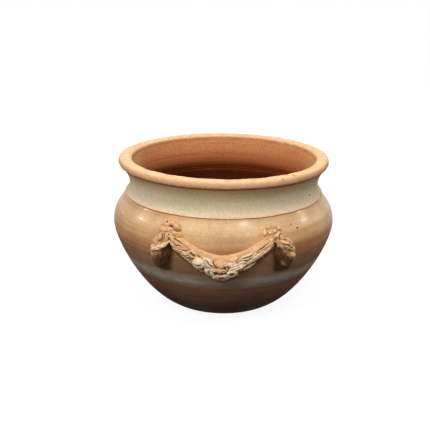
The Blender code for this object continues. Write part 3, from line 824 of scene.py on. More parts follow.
def tail_rope(side):
    """The tail under the left knot (side -1) or the right one (side 1), from share 0 down to 1."""
    def place(share):
        return side * (TAIL_TOP_ANGLE + TAIL_SPREAD * share), TAIL_TOP - TAIL_DROP * share

    def radius(share):
        swell = np.sin(np.pi * np.clip(share, 0.0, 1.0) ** 1.4)
        return TAIL_END_RADIUS + (TAIL_MIDDLE_RADIUS - TAIL_END_RADIUS) * swell

    return Rope(place, radius, 0.1)


SWAG = Rope(swag_place, swag_radius, 0.2)


def rope_frame(rope, share):
    """Centre, run, across and out of a rope: out x run is across, and run x across is out again."""
    def centre(spot):
        return wall_point(*rope.place(spot), -rope.sink * rope.radius(spot))

    step = 0.01
    run = unit(centre(share + step) - centre(share - step))
    across = unit(np.cross(wall_out(*rope.place(share)), run))
    return centre(share), run, across, np.cross(run, across)


def on_rope(rope, share, around, lift):
    """Centre + (radius + lift)(cos(around) out + sin(around) across)."""
    centre, run, across, out = rope_frame(rope, share)
    turned_by = np.radians(around)[..., None]
    skin = np.cos(turned_by) * out + np.sin(turned_by) * across
    return centre + skin * (rope.radius(share) + lift)[..., None]


def stretch(rope, share):
    """Metres along the rope for one unit of share."""
    step = 0.01
    ends = [wall_point(*rope.place(np.array(spot))) for spot in (share - step, share + step)]
    return float(np.linalg.norm(ends[1] - ends[0]) / (2 * step))


print("swag, metres for each unit of share:", round(stretch(SWAG, 0.0), 4), round(stretch(SWAG, 0.8), 4))

# %% [markdown]
# ## Shapes pressed from clay
#
# Leaves and fruits are pods: closed shapes with an end point at each end. Each is written as formulas
# over two numbers, the share along the pod and the angle round it. The result is in the sprig's own
# axes, with x along it, y across it and z out of the rope. A second function then lays it on the rope,
# where x runs along the rope and y bends round it, so a long leaf clings as wet clay does.

# %% Pods
def pod(rows, columns):
    """Share along and angle round for every point of a pod with its two end points, and its faces."""
    along = np.concatenate([[0.0], np.repeat((np.arange(rows) + 1) / (rows + 1), columns), [1.0]])
    around = np.concatenate([[0.0], np.tile(2 * np.pi * np.arange(columns) / columns, rows), [0.0]])
    return along, around, pod_faces(rows, columns)


VEIN_SPACING = 0.0042
# For each kind of leaf: groove depth and half width, turn of the groove, and its reach.
LEAF_KINDS = {
    "plain": (0.0008, 0.0009, 6.0, 0.75),
    "split": (0.0024, 0.0009, 5.0, 0.72),
    "bean": (0.0028, 0.0010, -38.0, 0.40),
    "hollow": (0.0032, 0.0019, 0.0, 0.62),
    "bowl": (0.0036, 0.0034, 0.0, 0.52),
}


def leaf_shape(length, width, thickness, kind, curve, seed):
    """x = length (u - 1/2); y = width/2 taper cos, ragged; z = thickness taper^(1/2) |sin|^0.8.

    The taper is sin(pi u^0.85)^0.7: plump near the stalk, finer at the tip. The groove, a bell curve
    across the leaf, is cut into z. The veins are slanting waves beside it, in the fold mark alone."""
    groove, groove_width, turned_by, reach = LEAF_KINDS[kind]
    along, around, faces = pod(rows=44, columns=60)
    taper = np.sin(np.pi * along**0.85) ** 0.7
    x = length * (along - 0.5)
    edge = np.stack([x, 0.01 * np.sign(np.cos(around)), 0 * x], axis=-1)
    y = width / 2 * taper * np.cos(around) * (1 + 0.20 * lumps(edge, 0.008, seed))
    side = np.sin(around)
    z = thickness * np.sqrt(taper) * np.sign(side) * np.abs(side) ** 0.8 * np.where(side > 0, 1.0, 0.4)
    body = np.sqrt(taper) * smooth_step(side, 0.0, 0.4)
    slit_x, slit_y = rotated(x, y, -turned_by)
    slit_y = slit_y + 0.0007 * lumps(np.stack([x, 0 * x, 0 * x], axis=-1), 0.007, seed + 3)
    groove_cut = np.exp(-((slit_y / groove_width) ** 2) - (2 * slit_x / (reach * length)) ** 4) * body
    slant = x / VEIN_SPACING - 1.6 * np.abs(y) / width
    vein = (0.5 + 0.5 * np.cos(2 * np.pi * slant)) ** 5 * body * smooth_step(np.abs(y), 0.0008, 0.0025)
    z = z - groove * groove_cut
    local = np.stack([x, y + curve * (4 * (along - 0.5) ** 2 - 1), z], axis=-1)
    local[:, 2] += (0.00045 * lumps(local, 0.006, seed) + 0.00025 * lumps(local, 0.0028, seed + 7)) * body
    # Painted shade in the groove and the veins, and along the leaf's base where it meets the rope.
    fold = np.maximum(groove_cut * smooth_step(groove, 0.0, 0.0020), 0.45 * vein)
    base = 0.9 * (1 - smooth_step(z, -0.05 * thickness, 0.32 * thickness))
    return local, faces, np.maximum(fold, base)


# For each kind of fruit: how it is stretched along, across and upwards, how deep its mark goes, and how dark
# its base and its mark are painted, as their shade.
FRUIT_KINDS = {
    "slit": ((1.0, 0.96, 1.0), 0.0028, 0.9, 1.0),
    "dent": ((1.30, 0.74, 0.36), 0.0010, 0.315, 1.0),
    "ring": ((1.15, 0.90, 0.85), 0.0016, 0.9, 0.75),
    "hollow": ((1.25, 0.85, 0.9), 0.0030, 0.9, 1.0),
}


def fruit_shape(diameter, kind, seed):
    """A ball pressed to 0.85 of its height and stretched, with a slit, ring, dent or hollow in its top."""
    stretched, depth, base_dark, mark_dark = FRUIT_KINDS[kind]
    along, around, faces = pod(rows=44, columns=56)
    polar = np.pi * (1 - along)
    radius = diameter / 2
    x, y = radius * np.sin(polar) * np.cos(around), radius * np.sin(polar) * np.sin(around)
    z = radius * 0.85 * np.cos(polar)
    away = np.hypot(x, y)
    cuts = {
        "slit": np.exp(-((x / (0.48 * radius)) ** 4) - ((y + 0.04 * radius - 9 * x * x) / 0.0011) ** 2),
        "dent": 0.25 * np.exp(-((away / (0.35 * radius)) ** 2)),
        "ring": np.exp(-(((away - 0.72 * radius) / 0.0011) ** 2)),
        "hollow": np.exp(-((away / (0.48 * radius)) ** 4)),
    }
    cut = cuts[kind] * smooth_step(np.cos(polar), 0.1, 0.6)
    local = np.stack([x, y, z], axis=-1) * stretched
    local[:, 2] -= depth * cut
    local *= 1 + 0.04 * lumps(local, 0.009, seed)[:, None] + 0.02 * lumps(local, 0.004, seed + 7)[:, None]
    # Painted shade at the fruit's base, where it meets the rope, and in its mark.
    base = base_dark * (1 - smooth_step(z, -0.05 * radius, 0.25 * radius))
    return local, faces, np.maximum(base, mark_dark * cut)


SPRIG_SINK = 0.0006


def lay_on_rope(rope, share, around, turned_by, local):
    """Turns x and y by that angle, then wraps them: x along the rope, y round it, z off its skin."""
    run, side = rotated(local[:, 0], local[:, 1], turned_by)
    radius = float(rope.radius(np.array(share)))
    shares = share + run / stretch(rope, share)
    arounds = around + np.degrees(side / radius)
    swell = radius - rope.radius(shares)
    return settle(on_rope(rope, shares, arounds, local[:, 2] - SPRIG_SINK + 0.5 * swell))


# %% [markdown]
# The real festoon has many more scraps than anyone would model one by one: pellets and slips of clay
# pushed between the leaves until no rope shows. Taking the highest of many low round caps at each point
# gives such a packed skin, and where the two highest caps meet there is a crease, as between real pellets.
# The caps are called lobes here.

# %% Lobes packed together
def packed(x, y, ground, lobes):
    """The highest of the ground and the lobes, and a mark that is 1 where the two highest meet.

    A lobe (x, y, half length, half width, turn, rise) is the cap rise sqrt(1 - d^2), where d is the
    distance from its middle, counted in half lengths along it and half widths across it."""
    height = ground + 0 * x
    second = 0 * x - 1.0
    for middle_x, middle_y, half_length, half_width, turned_by, rise in lobes:
        run, side = rotated(x - middle_x, y - middle_y, -turned_by)
        along, across = run / half_length, side / half_width
        cap = rise * np.sqrt(np.clip(1 - along**2 - across**2, 0.0, 1.0))
        second = np.maximum(second, np.minimum(height, cap))
        height = np.maximum(height, cap)
    return height, np.exp(-(((height - second) / 0.0006) ** 2))


def in_metres(table):
    """Lobes written in millimetres, with the turn in degrees."""
    return np.array(table, float) * np.array([0.001, 0.001, 0.001, 0.001, 1.0, 0.001])


def scattered(seed, count, *limits):
    """Random lobes, each of their six numbers drawn evenly between its two limits."""
    random = np.random.default_rng(seed)
    return in_metres(np.stack([random.uniform(low, high, count) for low, high in limits], axis=1))


# %% [markdown]
# ## Materials of the festoon
#
# The sprigs are the same clay, handled more. Slip and lime dried on the leaves and fruits in the middle
# of the swag and left them greyish white on top, while the knots and the smooth clay above the rope kept
# the belly's orange. The folds between them are painted dark and red, as their shade and some dirt. Two
# marks on each point steer this: one for the painted fold shade and dirt, and pale for the bloom.

# %% Clays of the festoon
def make_festoon_clay(name, colour, fold_colour, bloom_colour, sand, roughness):
    """Clay with a dark cloud here and there, bloom where the pale mark says, and painted shade and dirt in
    its folds.
    """
    material, tree, shader, place = start_material(name)
    colour, fold_colour, bloom_colour = (linear(*picked) for picked in (colour, fold_colour, bloom_colour))
    sandy = grain(tree, place, 850.0, sand, 0.0004)
    cloud = patches(tree, place, 160.0, 3.0, 0.6, 0.35, 0.65, 0.0, 0.45)
    shade = blend(tree, cloud, colour, (*(0.80 * part for part in colour[:3]), 1.0))
    pale = node(tree, "Attribute", attribute_name="pale").outputs["Fac"]
    inputs = {"Vector": place, "Amount": pale, "Patches a metre": 240.0}
    limed = node(tree, "Group", inputs, node_tree=LIME_BLOOM).outputs["Mask"]
    shade = folds(tree, place, blend(tree, limed, shade, bloom_colour), fold_colour, 0.92)
    shade = specked(tree, shade, sandy, 0.6, fold_colour)
    relief = calculate(tree, "MULTIPLY_ADD", noise(tree, place, 330.0), 0.0006, sandy["Height"])
    finish_clay(tree, shader, shade, relief, roughness, 0.12)
    return material


# For each clay: its colour, the colours of its fold shade and dirt and of its bloom, the sand's height, and
# the roughness.
FESTOON_CLAYS = {
    "rope_clay": ((217, 170, 122), (104, 56, 32), (240, 210, 176), 0.00010, 0.62),
    "sprig_clay": ((212, 161, 114), (112, 58, 34), (236, 228, 206), 0.00018, 0.8),
    "knot_clay": ((215, 166, 116), (116, 60, 34), (246, 220, 188), 0.00012, 0.6),
    "tail_clay": ((206, 156, 108), (66, 30, 16), (246, 228, 198), 0.00016, 0.7),
}
ROPE_CLAY, SPRIG_CLAY, KNOT_CLAY, TAIL_CLAY = (
    make_festoon_clay(name, *settings) for name, settings in FESTOON_CLAYS.items()
)

# %% [markdown]
# ## The swag
#
# Under the sprigs lies the rope itself. It shows above them as a smooth ramp of clay that was wiped up
# onto the belly with a thumb, and it is widest in the middle of the swag. The ramp is made by letting the
# rope's section grow towards its upper side. The same festoon is laid on the back, turned half round, so
# every piece is made twice from one set of points.

# %% The rope and its ramp
def lay_front_and_back(name, points, faces, marks, material, slot, stands_for=True):
    """The piece on the front, and the same points turned half round for the back."""
    for face_name, sign in (("front", 1.0), ("back", -1.0)):
        turned_points = points * np.array([sign, sign, 1.0])
        full_name = face_name + "_" + name
        node_name = full_name if stands_for else None
        new_piece(full_name, turned_points, faces, [material], marks, node_name)


def swag_scraps():
    """Small lobes in the middle of the swag, and long slips beside its left and right knots."""
    tables = (
        (190, (-72, 50), (-32, 24), (2.8, 6.0), (1.8, 3.2), (-70, 70), (3.0, 5.2)),
        (34, (-108, -64), (-20, 14), (7, 12), (2.0, 3.2), (-16, 22), (3.0, 4.8)),
        (60, (40, 108), (-22, 16), (7, 13), (2.0, 3.4), (-20, 8), (3.0, 4.8)),
    )
    return np.vstack([scattered(seed, *table) for seed, table in enumerate(tables, 12)])


SWAG_METRES = 0.107
BED_GROUND = 0.0028
RAMP_ANGLE = 78
RAMP_HALF_WIDTH = 22


def swag_bed():
    """Radius = R (0.90 + k exp(-((a - angle) / half width)^2)) + scraps, where k is the ramp's size."""
    along, around, faces = pod(rows=400, columns=168)
    share = 1.06 * (2 * along - 1)
    degrees = wrap(np.degrees(around))
    size = 0.40 - 0.14 * np.exp(-((share / 0.40) ** 2))
    ramp = size * np.exp(-(((degrees - RAMP_ANGLE) / RAMP_HALF_WIDTH) ** 2))
    ramp *= 1 - smooth_step(np.abs(share), 0.86, 1.0)
    section = np.stack([share * SWAG_METRES, np.cos(around) * 0.02, np.sin(around) * 0.02], axis=-1)
    end = np.sqrt(np.clip(1 - np.abs(2 * along - 1) ** 14, 0.0, 1.0))
    radius = swag_radius(share)
    skin, meeting = packed(share * SWAG_METRES, np.radians(degrees) * radius, BED_GROUND, swag_scraps())
    faced = smooth_step(degrees, -112, -85) * (1 - smooth_step(degrees, 44, 58))
    lift = radius * (end * (0.90 + ramp) - 1) + end * (skin - BED_GROUND) * faced
    lift += 0.0004 * lumps(section, 0.012, 11) * end
    points = settle(on_rope(SWAG, share, degrees, lift))
    hidden = 1 - smooth_step(skin, BED_GROUND, BED_GROUND + 0.0008)
    # Painted shade where lobes meet and in the low gaps between them.
    crease = np.maximum(meeting, 0.7 * hidden) * faced
    pale = 0.75 * smooth_step(skin, BED_GROUND, 0.0045) * faced * np.exp(-(((share + 0.02) / 0.42) ** 2))
    return points, faces, {"crease": crease, "pale": pale}


bed = swag_bed()
lay_front_and_back("swag_rope", *bed, ROPE_CLAY, "clay_rope")
print("swag rope from", bed[0].min(axis=0).round(3), "to", bed[0].max(axis=0).round(3))

# %% [markdown]
# Each sprig is one line of a table: its place along the swag, the angle round the rope (0 faces out and
# 90 is up), its turn from the rope's run, its length and width in millimetres, its kind, and how much
# bloom it carries. The numbers were measured on the real festoon, leaf by leaf. The small slips that
# fill the gaps between them are one piece.

# %% Fruits and leaves of the swag
SWAG_FRUITS = (
    (-0.452, 0, 38, 20.0, "slit", 0.85),
    (-0.060, 50, 4, 22.0, "dent", 0.35),
    (-0.075, 19, 0, 11.5, "dent", 0.90),
    (0.175, -3, -12, 15.0, "hollow", 0.70),
)
SWAG_LEAVES = (
    (-0.87, 13, 8, 31, 10.5, "split", 0.10),
    (-0.85, -31, -6, 32, 8.5, "plain", 0.45),
    (-0.69, -12, 22, 17, 10.5, "split", 0.40),
    (-0.60, 26, 8, 19, 11.5, "hollow", 0.50),
    (-0.315, 28, -26, 27, 12.5, "split", 0.75),
    (-0.235, -8, -14, 20, 12.0, "bean", 0.95),
    (-0.03, -20, 2, 24, 14.0, "bowl", 0.80),
    (0.25, 34, -22, 20, 9.5, "plain", 0.85),
    (0.30, 62, -8, 16, 11.5, "plain", 0.35),
    (0.29, 9, -10, 30, 9.5, "plain", 0.95),
    (0.53, 36, -12, 28, 10.5, "split", 0.55),
    (0.83, 28, -5, 37, 11.0, "split", 0.12),
    (0.68, -10, -3, 56, 8.5, "plain", 0.50),
)
SWAG_SLIPS = (
    (-0.66, -48, 16, 22, 6.0, "plain", 0.45),
    (-0.57, -46, 24, 11, 5.5, "plain", 0.40),
    (-0.34, 15, 8, 10, 6.5, "plain", 0.95),
    (-0.37, -42, -16, 19, 7.0, "plain", 0.60),
    (-0.10, -18, 18, 10, 6.0, "plain", 0.70),
    (0.04, 20, 0, 12, 5.5, "split", 0.70),
    (0.05, -8, -10, 12, 6.5, "plain", 0.85),
    (0.13, 48, -20, 13, 8.0, "plain", 0.40),
    (0.40, 18, -14, 14, 6.5, "plain", 0.80),
    (0.47, -38, -12, 25, 5.5, "plain", 0.60),
    (0.62, 12, -10, 18, 6.0, "plain", 0.30),
    (0.90, 2, -4, 22, 6.5, "plain", 0.20),
    (-0.78, -10, 10, 14, 6.0, "plain", 0.25),
    (-0.76, 30, 14, 15, 6.5, "plain", 0.05),
    (-0.20, 8, 16, 10, 6.0, "plain", 0.80),
    (0.70, 52, -8, 24, 7.5, "plain", 0.25),
)
SPRIG_RISE = 0.0042


def place_sprig(rope, side, spot, shape, bloom_level, low, high):
    """Lays a shape on the rope, with its marks. The side mirrors it, and bloom grows from low to high."""
    share, around, turned_by = spot
    local, faces, fold = shape
    points = lay_on_rope(rope, share, side * around, side * turned_by, local)
    return points, faces, {"crease": fold, "pale": bloom_level * smooth_step(local[:, 2], low, high)}


def place_leaf(rope, side, row, rise, number):
    """One line of a table of leaves. The number bends it a little to one side."""
    *spot, length, width, kind, bloom_level = row
    curve = 0.0010 * math.sin(2.3 * number)
    shape = leaf_shape(length / 1000, width / 1000, rise, kind, curve, 200 + number)
    return place_sprig(rope, side, spot, shape, bloom_level, 0.25 * rise, 0.9 * rise)


def place_fruit(rope, side, row, number):
    *spot, diameter, kind, bloom_level = row
    shape = fruit_shape(diameter / 1000, kind, 100 + number)
    return place_sprig(rope, side, spot, shape, bloom_level, 0.0, 0.00035 * diameter)


def joined(parts):
    """Several pods as the points, faces and marks of one piece."""
    starts = np.cumsum([0] + [len(points) for points, _, _ in parts])
    points = np.vstack([part[0] for part in parts])
    sides = np.vstack([part[1][0] + start for part, start in zip(parts, starts)])
    ends = np.vstack([part[1][1] + start for part, start in zip(parts, starts)])
    marks = {mark: np.concatenate([part[2][mark] for part in parts]) for mark in ("crease", "pale")}
    return points, (sides, ends), marks


for number, row in enumerate(SWAG_FRUITS, 1):
    made = place_fruit(SWAG, 1, row, number)
    lay_front_and_back(f"swag_fruit_{number:02d}", *made, SPRIG_CLAY, "clay_sprig")

for number, row in enumerate(SWAG_LEAVES, 1):
    made = place_leaf(SWAG, 1, row, SPRIG_RISE, number)
    lay_front_and_back(f"swag_leaf_{number:02d}", *made, SPRIG_CLAY, "clay_sprig")

slips = [place_leaf(SWAG, 1, row, 0.8 * SPRIG_RISE, 40 + number) for number, row in enumerate(SWAG_SLIPS)]
lay_front_and_back("swag_slips", *joined(slips), SPRIG_CLAY, "clay_sprig", stands_for=False)
print("on each swag:", len(SWAG_FRUITS), "fruits,", len(SWAG_LEAVES), "leaves and", len(slips), "slips")

# %% [markdown]
# ## Knots and tails
#
# Each knot is a low rosette of clay pushed onto the shoulder, with holes poked by a stick. It is made of
# lobes too, on a chart whose numbers are millimetres right and up from its middle. The pokes and the cuts
# are then taken out of its height. The two knots of the real bowl differ, so each has its own table.

# %% Pokes and cuts
def cut_depth(x, y, pokes, cuts):
    """Round pokes (right, up, radius, depth) and straight cuts (from, to, half width, depth)."""
    depth = np.zeros_like(x)
    for right, up, radius, deep in np.array(pokes) / 1000:
        away = np.hypot(x - right, y - up) / radius
        depth = np.maximum(depth, deep * np.exp(-(away**4)))
    for x1, y1, x2, y2, half, deep in np.array(cuts) / 1000:
        run = np.array([x2 - x1, y2 - y1])
        share = np.clip(((x - x1) * run[0] + (y - y1) * run[1]) / (run @ run), 0.0, 1.0)
        away = np.hypot(x - x1 - share * run[0], y - y1 - share * run[1]) / half
        depth = np.maximum(depth, deep * np.exp(-(away**2)))
    return depth


# %% The two knots
KNOT_ANGLE = 25.0
KNOT_HEIGHT = 0.184
KNOT_TILT = 24.0
KNOTS = {
    -1: {
        "middle": (-4.0, -1.5), "half_length": 27.0, "half_width": 17.5, "pale": 0.20, "seams": 0.30,
        "lobes": ((-12, 6, 10, 8.5, 10, 6.8), (-2, 7, 7.5, 6.5, 0, 7.2), (9.5, 4.5, 9, 6.5, -12, 8.4),
                  (-4, -3, 8.5, 6, 0, 8.0), (5, -7, 7, 5, -38, 6.4), (-14, -4, 9, 8, 35, 7.0),
                  (-21, -5, 8, 9, -15, 6.0), (-4, -12, 7.5, 6, 0, 8.0), (-18, 4, 8, 7, 40, 5.4),
                  (3, -17, 6, 5, -40, 8.0), (-13, -12, 5, 5, 0, 6.6)),
        "pokes": ((-12.4, 8.1, 1.7, 4.5), (-2.7, -11.5, 1.4, 4.0), (-20, 1, 1.0, 1.5)),
        "cuts": ((-5.6, 1.6, -3.2, 3.8, 0.9, 3.6), (-3.2, 3.8, 0.4, 1.6, 1.1, 4.2),
                 (3, -1.8, 9, -3.4, 0.9, 3.2), (9, -3.4, 16.5, -1.4, 1.0, 3.2), (-17, 3, -11, -1, 0.8, 1.6),
                 (-9, -8, -15, -13, 0.8, 2.0)),
    },
    1: {
        "middle": (-6.5, -5.5), "half_length": 24.5, "half_width": 15.5, "pale": 0.70, "seams": 0.50,
        "lobes": ((-17, -3, 8, 4.4, 78, 7.6), (-24, -3, 4, 6.5, 0, 5.0), (-8.5, 4.5, 6, 4.6, 14, 6.4),
                  (0, 4.5, 6, 4.6, -10, 6.2), (9.5, 0.5, 5.2, 4.4, -20, 7.6), (-7, -5, 6.5, 4.6, 24, 6.4),
                  (6, -9.5, 9, 3.8, 34, 8.2), (-10, -18, 9.5, 4.4, 35, 7.6), (13, -9, 5, 4, -30, 6.4),
                  (1.5, -3, 5, 3.8, 30, 6.8)),
        "pokes": ((-1.5, 8.2, 1.5, 2.4), (-25.2, 0.5, 1.2, 2.4), (5.6, -2.6, 1.1, 2.6),
                  (15.5, -3.0, 1.0, 1.8)),
        "cuts": ((-12.2, 6, -11.2, 1, 0.9, 2.4), (-12.6, -4, -11.6, -9, 0.8, 1.6),
                 (4.2, 5.2, 5.4, 1.6, 0.9, 2.2), (-3.6, -8.6, 1.4, -5.6, 0.8, 1.8)),
    },
}


# The share of a knot's rows that lies under it, and how high its clay is under the lobes.
UNDER_SHARE = 0.25
KNOT_GROUND = 0.0048


def knot_shape(side, seed):
    """A pod over an ellipse: flat below, the pile of lobes above, in metres right, up and out."""
    knot = KNOTS[side]
    along, around, faces = pod(rows=84, columns=132)
    reach = np.where(along < UNDER_SHARE, along / UNDER_SHARE, (1 - along) / (1 - UNDER_SHARE))
    wavy = 1 + 0.07 * np.cos(5 * around + side) * reach
    long_way = reach * wavy * np.cos(around) * knot["half_length"] / 1000
    short_way = reach * wavy * np.sin(around) * knot["half_width"] / 1000
    x, y = rotated(long_way, short_way, side * KNOT_TILT)
    x, y = x + knot["middle"][0] / 1000, y + knot["middle"][1] / 1000
    ground = KNOT_GROUND * np.sqrt(np.clip(1 - reach**2, 0.0, 1.0))
    pile, meeting = packed(x, y, ground, in_metres(knot["lobes"]))
    pile = pile * (1 - smooth_step(reach, 0.70, 1.0))
    depth = cut_depth(x, y, knot["pokes"], knot["cuts"])
    flat = np.stack([x, y, 0 * x], axis=-1)
    rough = 0.0004 * lumps(flat, 0.006, seed) + 0.0002 * lumps(flat, 0.003, seed + 1)
    top = pile - np.minimum(depth, 0.8 * pile) + rough * (1 - reach**4)
    z = np.where(along < UNDER_SHARE, -0.002, top - 0.0022 * reach**6)
    # Painted shade in the pokes, the cuts and the seams between lobes.
    seams = knot["seams"] * meeting * (1 - smooth_step(reach, 0.6, 0.9))
    fold = np.clip(0.85 * np.clip(depth / 0.0042, 0.0, 1.0) + seams, 0.0, 1.0)
    return np.stack([x, y, z], axis=-1), faces, fold


def lay_on_wall(angle, height, local):
    """x metres round the wall, y up it and z straight out, from a middle at that angle and height."""
    heights = height + local[:, 1] / math.hypot(1.0, float(wall_slope(height)))
    angles = angle + np.degrees(local[:, 0] / wall_radius(height))
    return settle(wall_point(angles, heights, local[:, 2]))


for side_name, side in (("left", -1), ("right", 1)):
    local, faces, fold = knot_shape(side, 300 + side)
    points = lay_on_wall(side * KNOT_ANGLE, KNOT_HEIGHT, local)
    marks = {"crease": fold, "pale": KNOTS[side]["pale"] * smooth_step(local[:, 2], 0.005, 0.008)}
    lay_front_and_back("knot_" + side_name, points, faces, marks, KNOT_CLAY, "clay_sprig")
    print("knot", side_name, "stands", round(float(local[:, 2].max()) * 1000, 1), "mm proud")

# %% [markdown]
# A tail is a heavy bunch of clay that flares away from the swag. A long leaf crosses it from the knot to
# its outer edge and catches the light. Everything under that leaf is low, reddish lumps, painted dark as
# their shade, less on the tops of the lumps and on the outer side. A small ring-shaped fruit sits just
# under the knot. The lobes of the bunch are pushed out of its own skin, along it and round it, and a
# positive angle is on the side away from the swag. The leaf is long and narrow on the left tail, shorter
# and broader on the right one, so each side has its own table.

# %% Tails
TAIL_LOBES = (
    # share, angle round, half length, half width, turn, rise
    (0.36, 76, 14, 6.5, 14, 6.2), (0.60, 86, 12, 9.0, 0, 7.6), (0.84, 78, 9, 7.5, 0, 6.0),
    (0.44, -84, 12, 8.0, 0, 6.4), (0.70, -80, 9, 7.0, 0, 4.6), (0.68, 40, 8, 7.0, 20, 5.0),
    (0.93, 30, 7.5, 7.0, 0, 5.2), (0.84, -32, 8, 7.0, -10, 5.0), (0.66, -12, 7, 6.5, 30, 4.2),
    (0.98, -4, 6, 6, 0, 4.6), (0.16, -40, 8, 6, -20, 4.6), (0.10, 60, 8, 6, 20, 4.2),
)
# The dark_ numbers of each tail place the painted shade under its crossing leaf.
TAILS = {
    -1: {
        "leaf": (0.38, -3, 46, 43, 6.8, "plain", 0.62), "leaf_rise": 0.0070,
        "fruit": (0.17, 20, 10, 12.5, "ring", 0.15),
        "extra": ((0.34, 86, 13, 5.6, 6, 9.4), (0.14, 66, 8, 5.5, 10, 7.0), (0.54, 60, 8, 4.6, 46, 6.8)),
        "dark_from": 0.47, "dark_slope": 0.0041, "dark_first": 0.45, "dark_run": 0.44, "dark_most": 0.90,
    },
    1: {
        "leaf": (0.33, 4, 37, 31, 8.6, "split", 0.35), "leaf_rise": 0.0068,
        "fruit": (0.10, -7, 0, 12.0, "ring", 0.15),
        "extra": ((0.60, 24, 6.5, 4.8, 56, 8.4), (0.76, -40, 7.5, 6.4, 20, 7.6),
                  (0.34, 62, 12, 4.6, 14, 8.2), (0.78, 30, 8, 6, 10, 6.4), (0.26, -32, 8, 4.2, 20, 7.4)),
        "dark_from": 0.45, "dark_slope": 0.0036, "dark_first": 0.40, "dark_run": 0.30, "dark_most": 0.80,
    },
}
# The second leaf is small, lies in the shade of either tail, and is painted dark all over as that shade.
LOW_LEAF = (0.72, -20, -14, 24, 10.0, "plain", 0.0)
LOW_LEAF_RISE = 0.0030
TAIL_LENGTH = 0.057
TAIL_MEAN_RADIUS = 0.0145
TAIL_GROUND = 0.0026


def tail_shade(side, share, degrees, height):
    """Painted shade under the crossing leaf: a slanting edge, sooner dark on the inner side, and less on top
    of the lumps.
    """
    tail = TAILS[side]
    past_leaf = share - tail["dark_slope"] * (side * degrees - 10)
    edge = tail["dark_from"]
    lumps_top = smooth_step(height, 0.0045, 0.0085)
    outer = smooth_step(side * degrees, -20, 50)
    inner = 1 - smooth_step(side * degrees, -50, -15)
    at_once = smooth_step(past_leaf, edge, edge + 0.10)
    later = smooth_step(past_leaf, edge + 0.2 * tail["dark_run"], edge + tail["dark_run"])
    rest = tail["dark_most"] - tail["dark_first"]
    dark = tail["dark_first"] * at_once + rest * np.maximum(later, inner * at_once)
    return dark * (1 - 0.40 * lumps_top) * (1 - 0.20 * outer)


def tail_shape(side, seed):
    """Radius = R end 0.90 + (the highest lobe there - the ground), with the lobes mirrored by the side."""
    rope = tail_rope(side)
    along, around, faces = pod(rows=110, columns=116)
    share = -0.02 + 1.07 * along
    degrees = wrap(np.degrees(around))
    end = np.sqrt(np.clip(1 - np.abs(2 * along - 1) ** 7, 0.0, 1.0))
    radius = rope.radius(share)
    lobes = np.array(TAIL_LOBES + TAILS[side]["extra"], float)
    lobes[:, 0] *= TAIL_LENGTH * 1000
    lobes[:, 1] = np.radians(side * lobes[:, 1]) * TAIL_MEAN_RADIUS * 1000
    lobes[:, 4] *= side
    reach = (0.0, 1050 * TAIL_LENGTH)
    small = scattered(seed, 60, reach, (-22, 22), (3, 6), (2.2, 3.6), (-60, 60), (3.4, 5.6))
    lobes = np.vstack([in_metres(lobes), small])
    height, meeting = packed(share * TAIL_LENGTH, np.radians(degrees) * TAIL_MEAN_RADIUS, TAIL_GROUND, lobes)
    section = np.stack([share * TAIL_LENGTH, radius * np.cos(around), radius * np.sin(around)], axis=-1)
    lift = radius * (0.90 * end - 1) + end * (height - TAIL_GROUND + 0.0005 * lumps(section, 0.008, seed))
    points = settle(on_rope(rope, share, degrees, lift))
    dark = tail_shade(side, share, degrees, height)
    pale = 0.2 * smooth_step(height, 0.003, 0.006) * (1 - dark)
    # Painted shade in the seams between lobes and under the crossing leaf.
    seams = meeting * (0.25 + 0.40 * smooth_step(share, 0.15, 0.40))
    return points, faces, {"crease": np.maximum(seams, dark), "pale": pale}


for side_name, side in (("left", -1), ("right", 1)):
    rope = tail_rope(side)
    tail = TAILS[side]
    lay_front_and_back(f"tail_{side_name}_core", *tail_shape(side, 400 + side), TAIL_CLAY, "clay_rope")
    crossing = place_leaf(rope, side, tail["leaf"], tail["leaf_rise"], 61 + side)
    lay_front_and_back(f"tail_{side_name}_leaf_1", *crossing, TAIL_CLAY, "clay_sprig")
    points, faces, marks = place_leaf(rope, side, LOW_LEAF, LOW_LEAF_RISE, 62 + side)
    # Painted shade over all of the low leaf.
    marks["crease"] = np.maximum(marks["crease"], 0.80)
    lay_front_and_back(f"tail_{side_name}_leaf_2", points, faces, marks, TAIL_CLAY, "clay_sprig")
    ring = place_fruit(rope, side, tail["fruit"], 60 + side)
    lay_front_and_back(f"tail_{side_name}_fruit", *ring, TAIL_CLAY, "clay_sprig")

# %% [markdown]
# ## Turning the bowl
#
# Now the belly, the collar, the rim and the base are turned from their outlines. Each has its own finger
# marks. The belly also needs to know where the festoon is, because its shadow is painted along it, with
# some dust: a point is close to the swag when its height is close to the swag's height at the same angle.

# %% The belly
# One degree round the belly in metres, and how far the painted shadow and dust reach from the festoon.
DEGREE_LENGTH = 0.0034
SWAG_SHADOW_AND_DUST = 0.024
TAIL_SHADOW_AND_DUST_BESIDE_SWAG = 0.036
TAIL_SHADOW_AND_DUST_OUTSIDE = 0.020
TAIL_HALF_WIDTH = 0.012


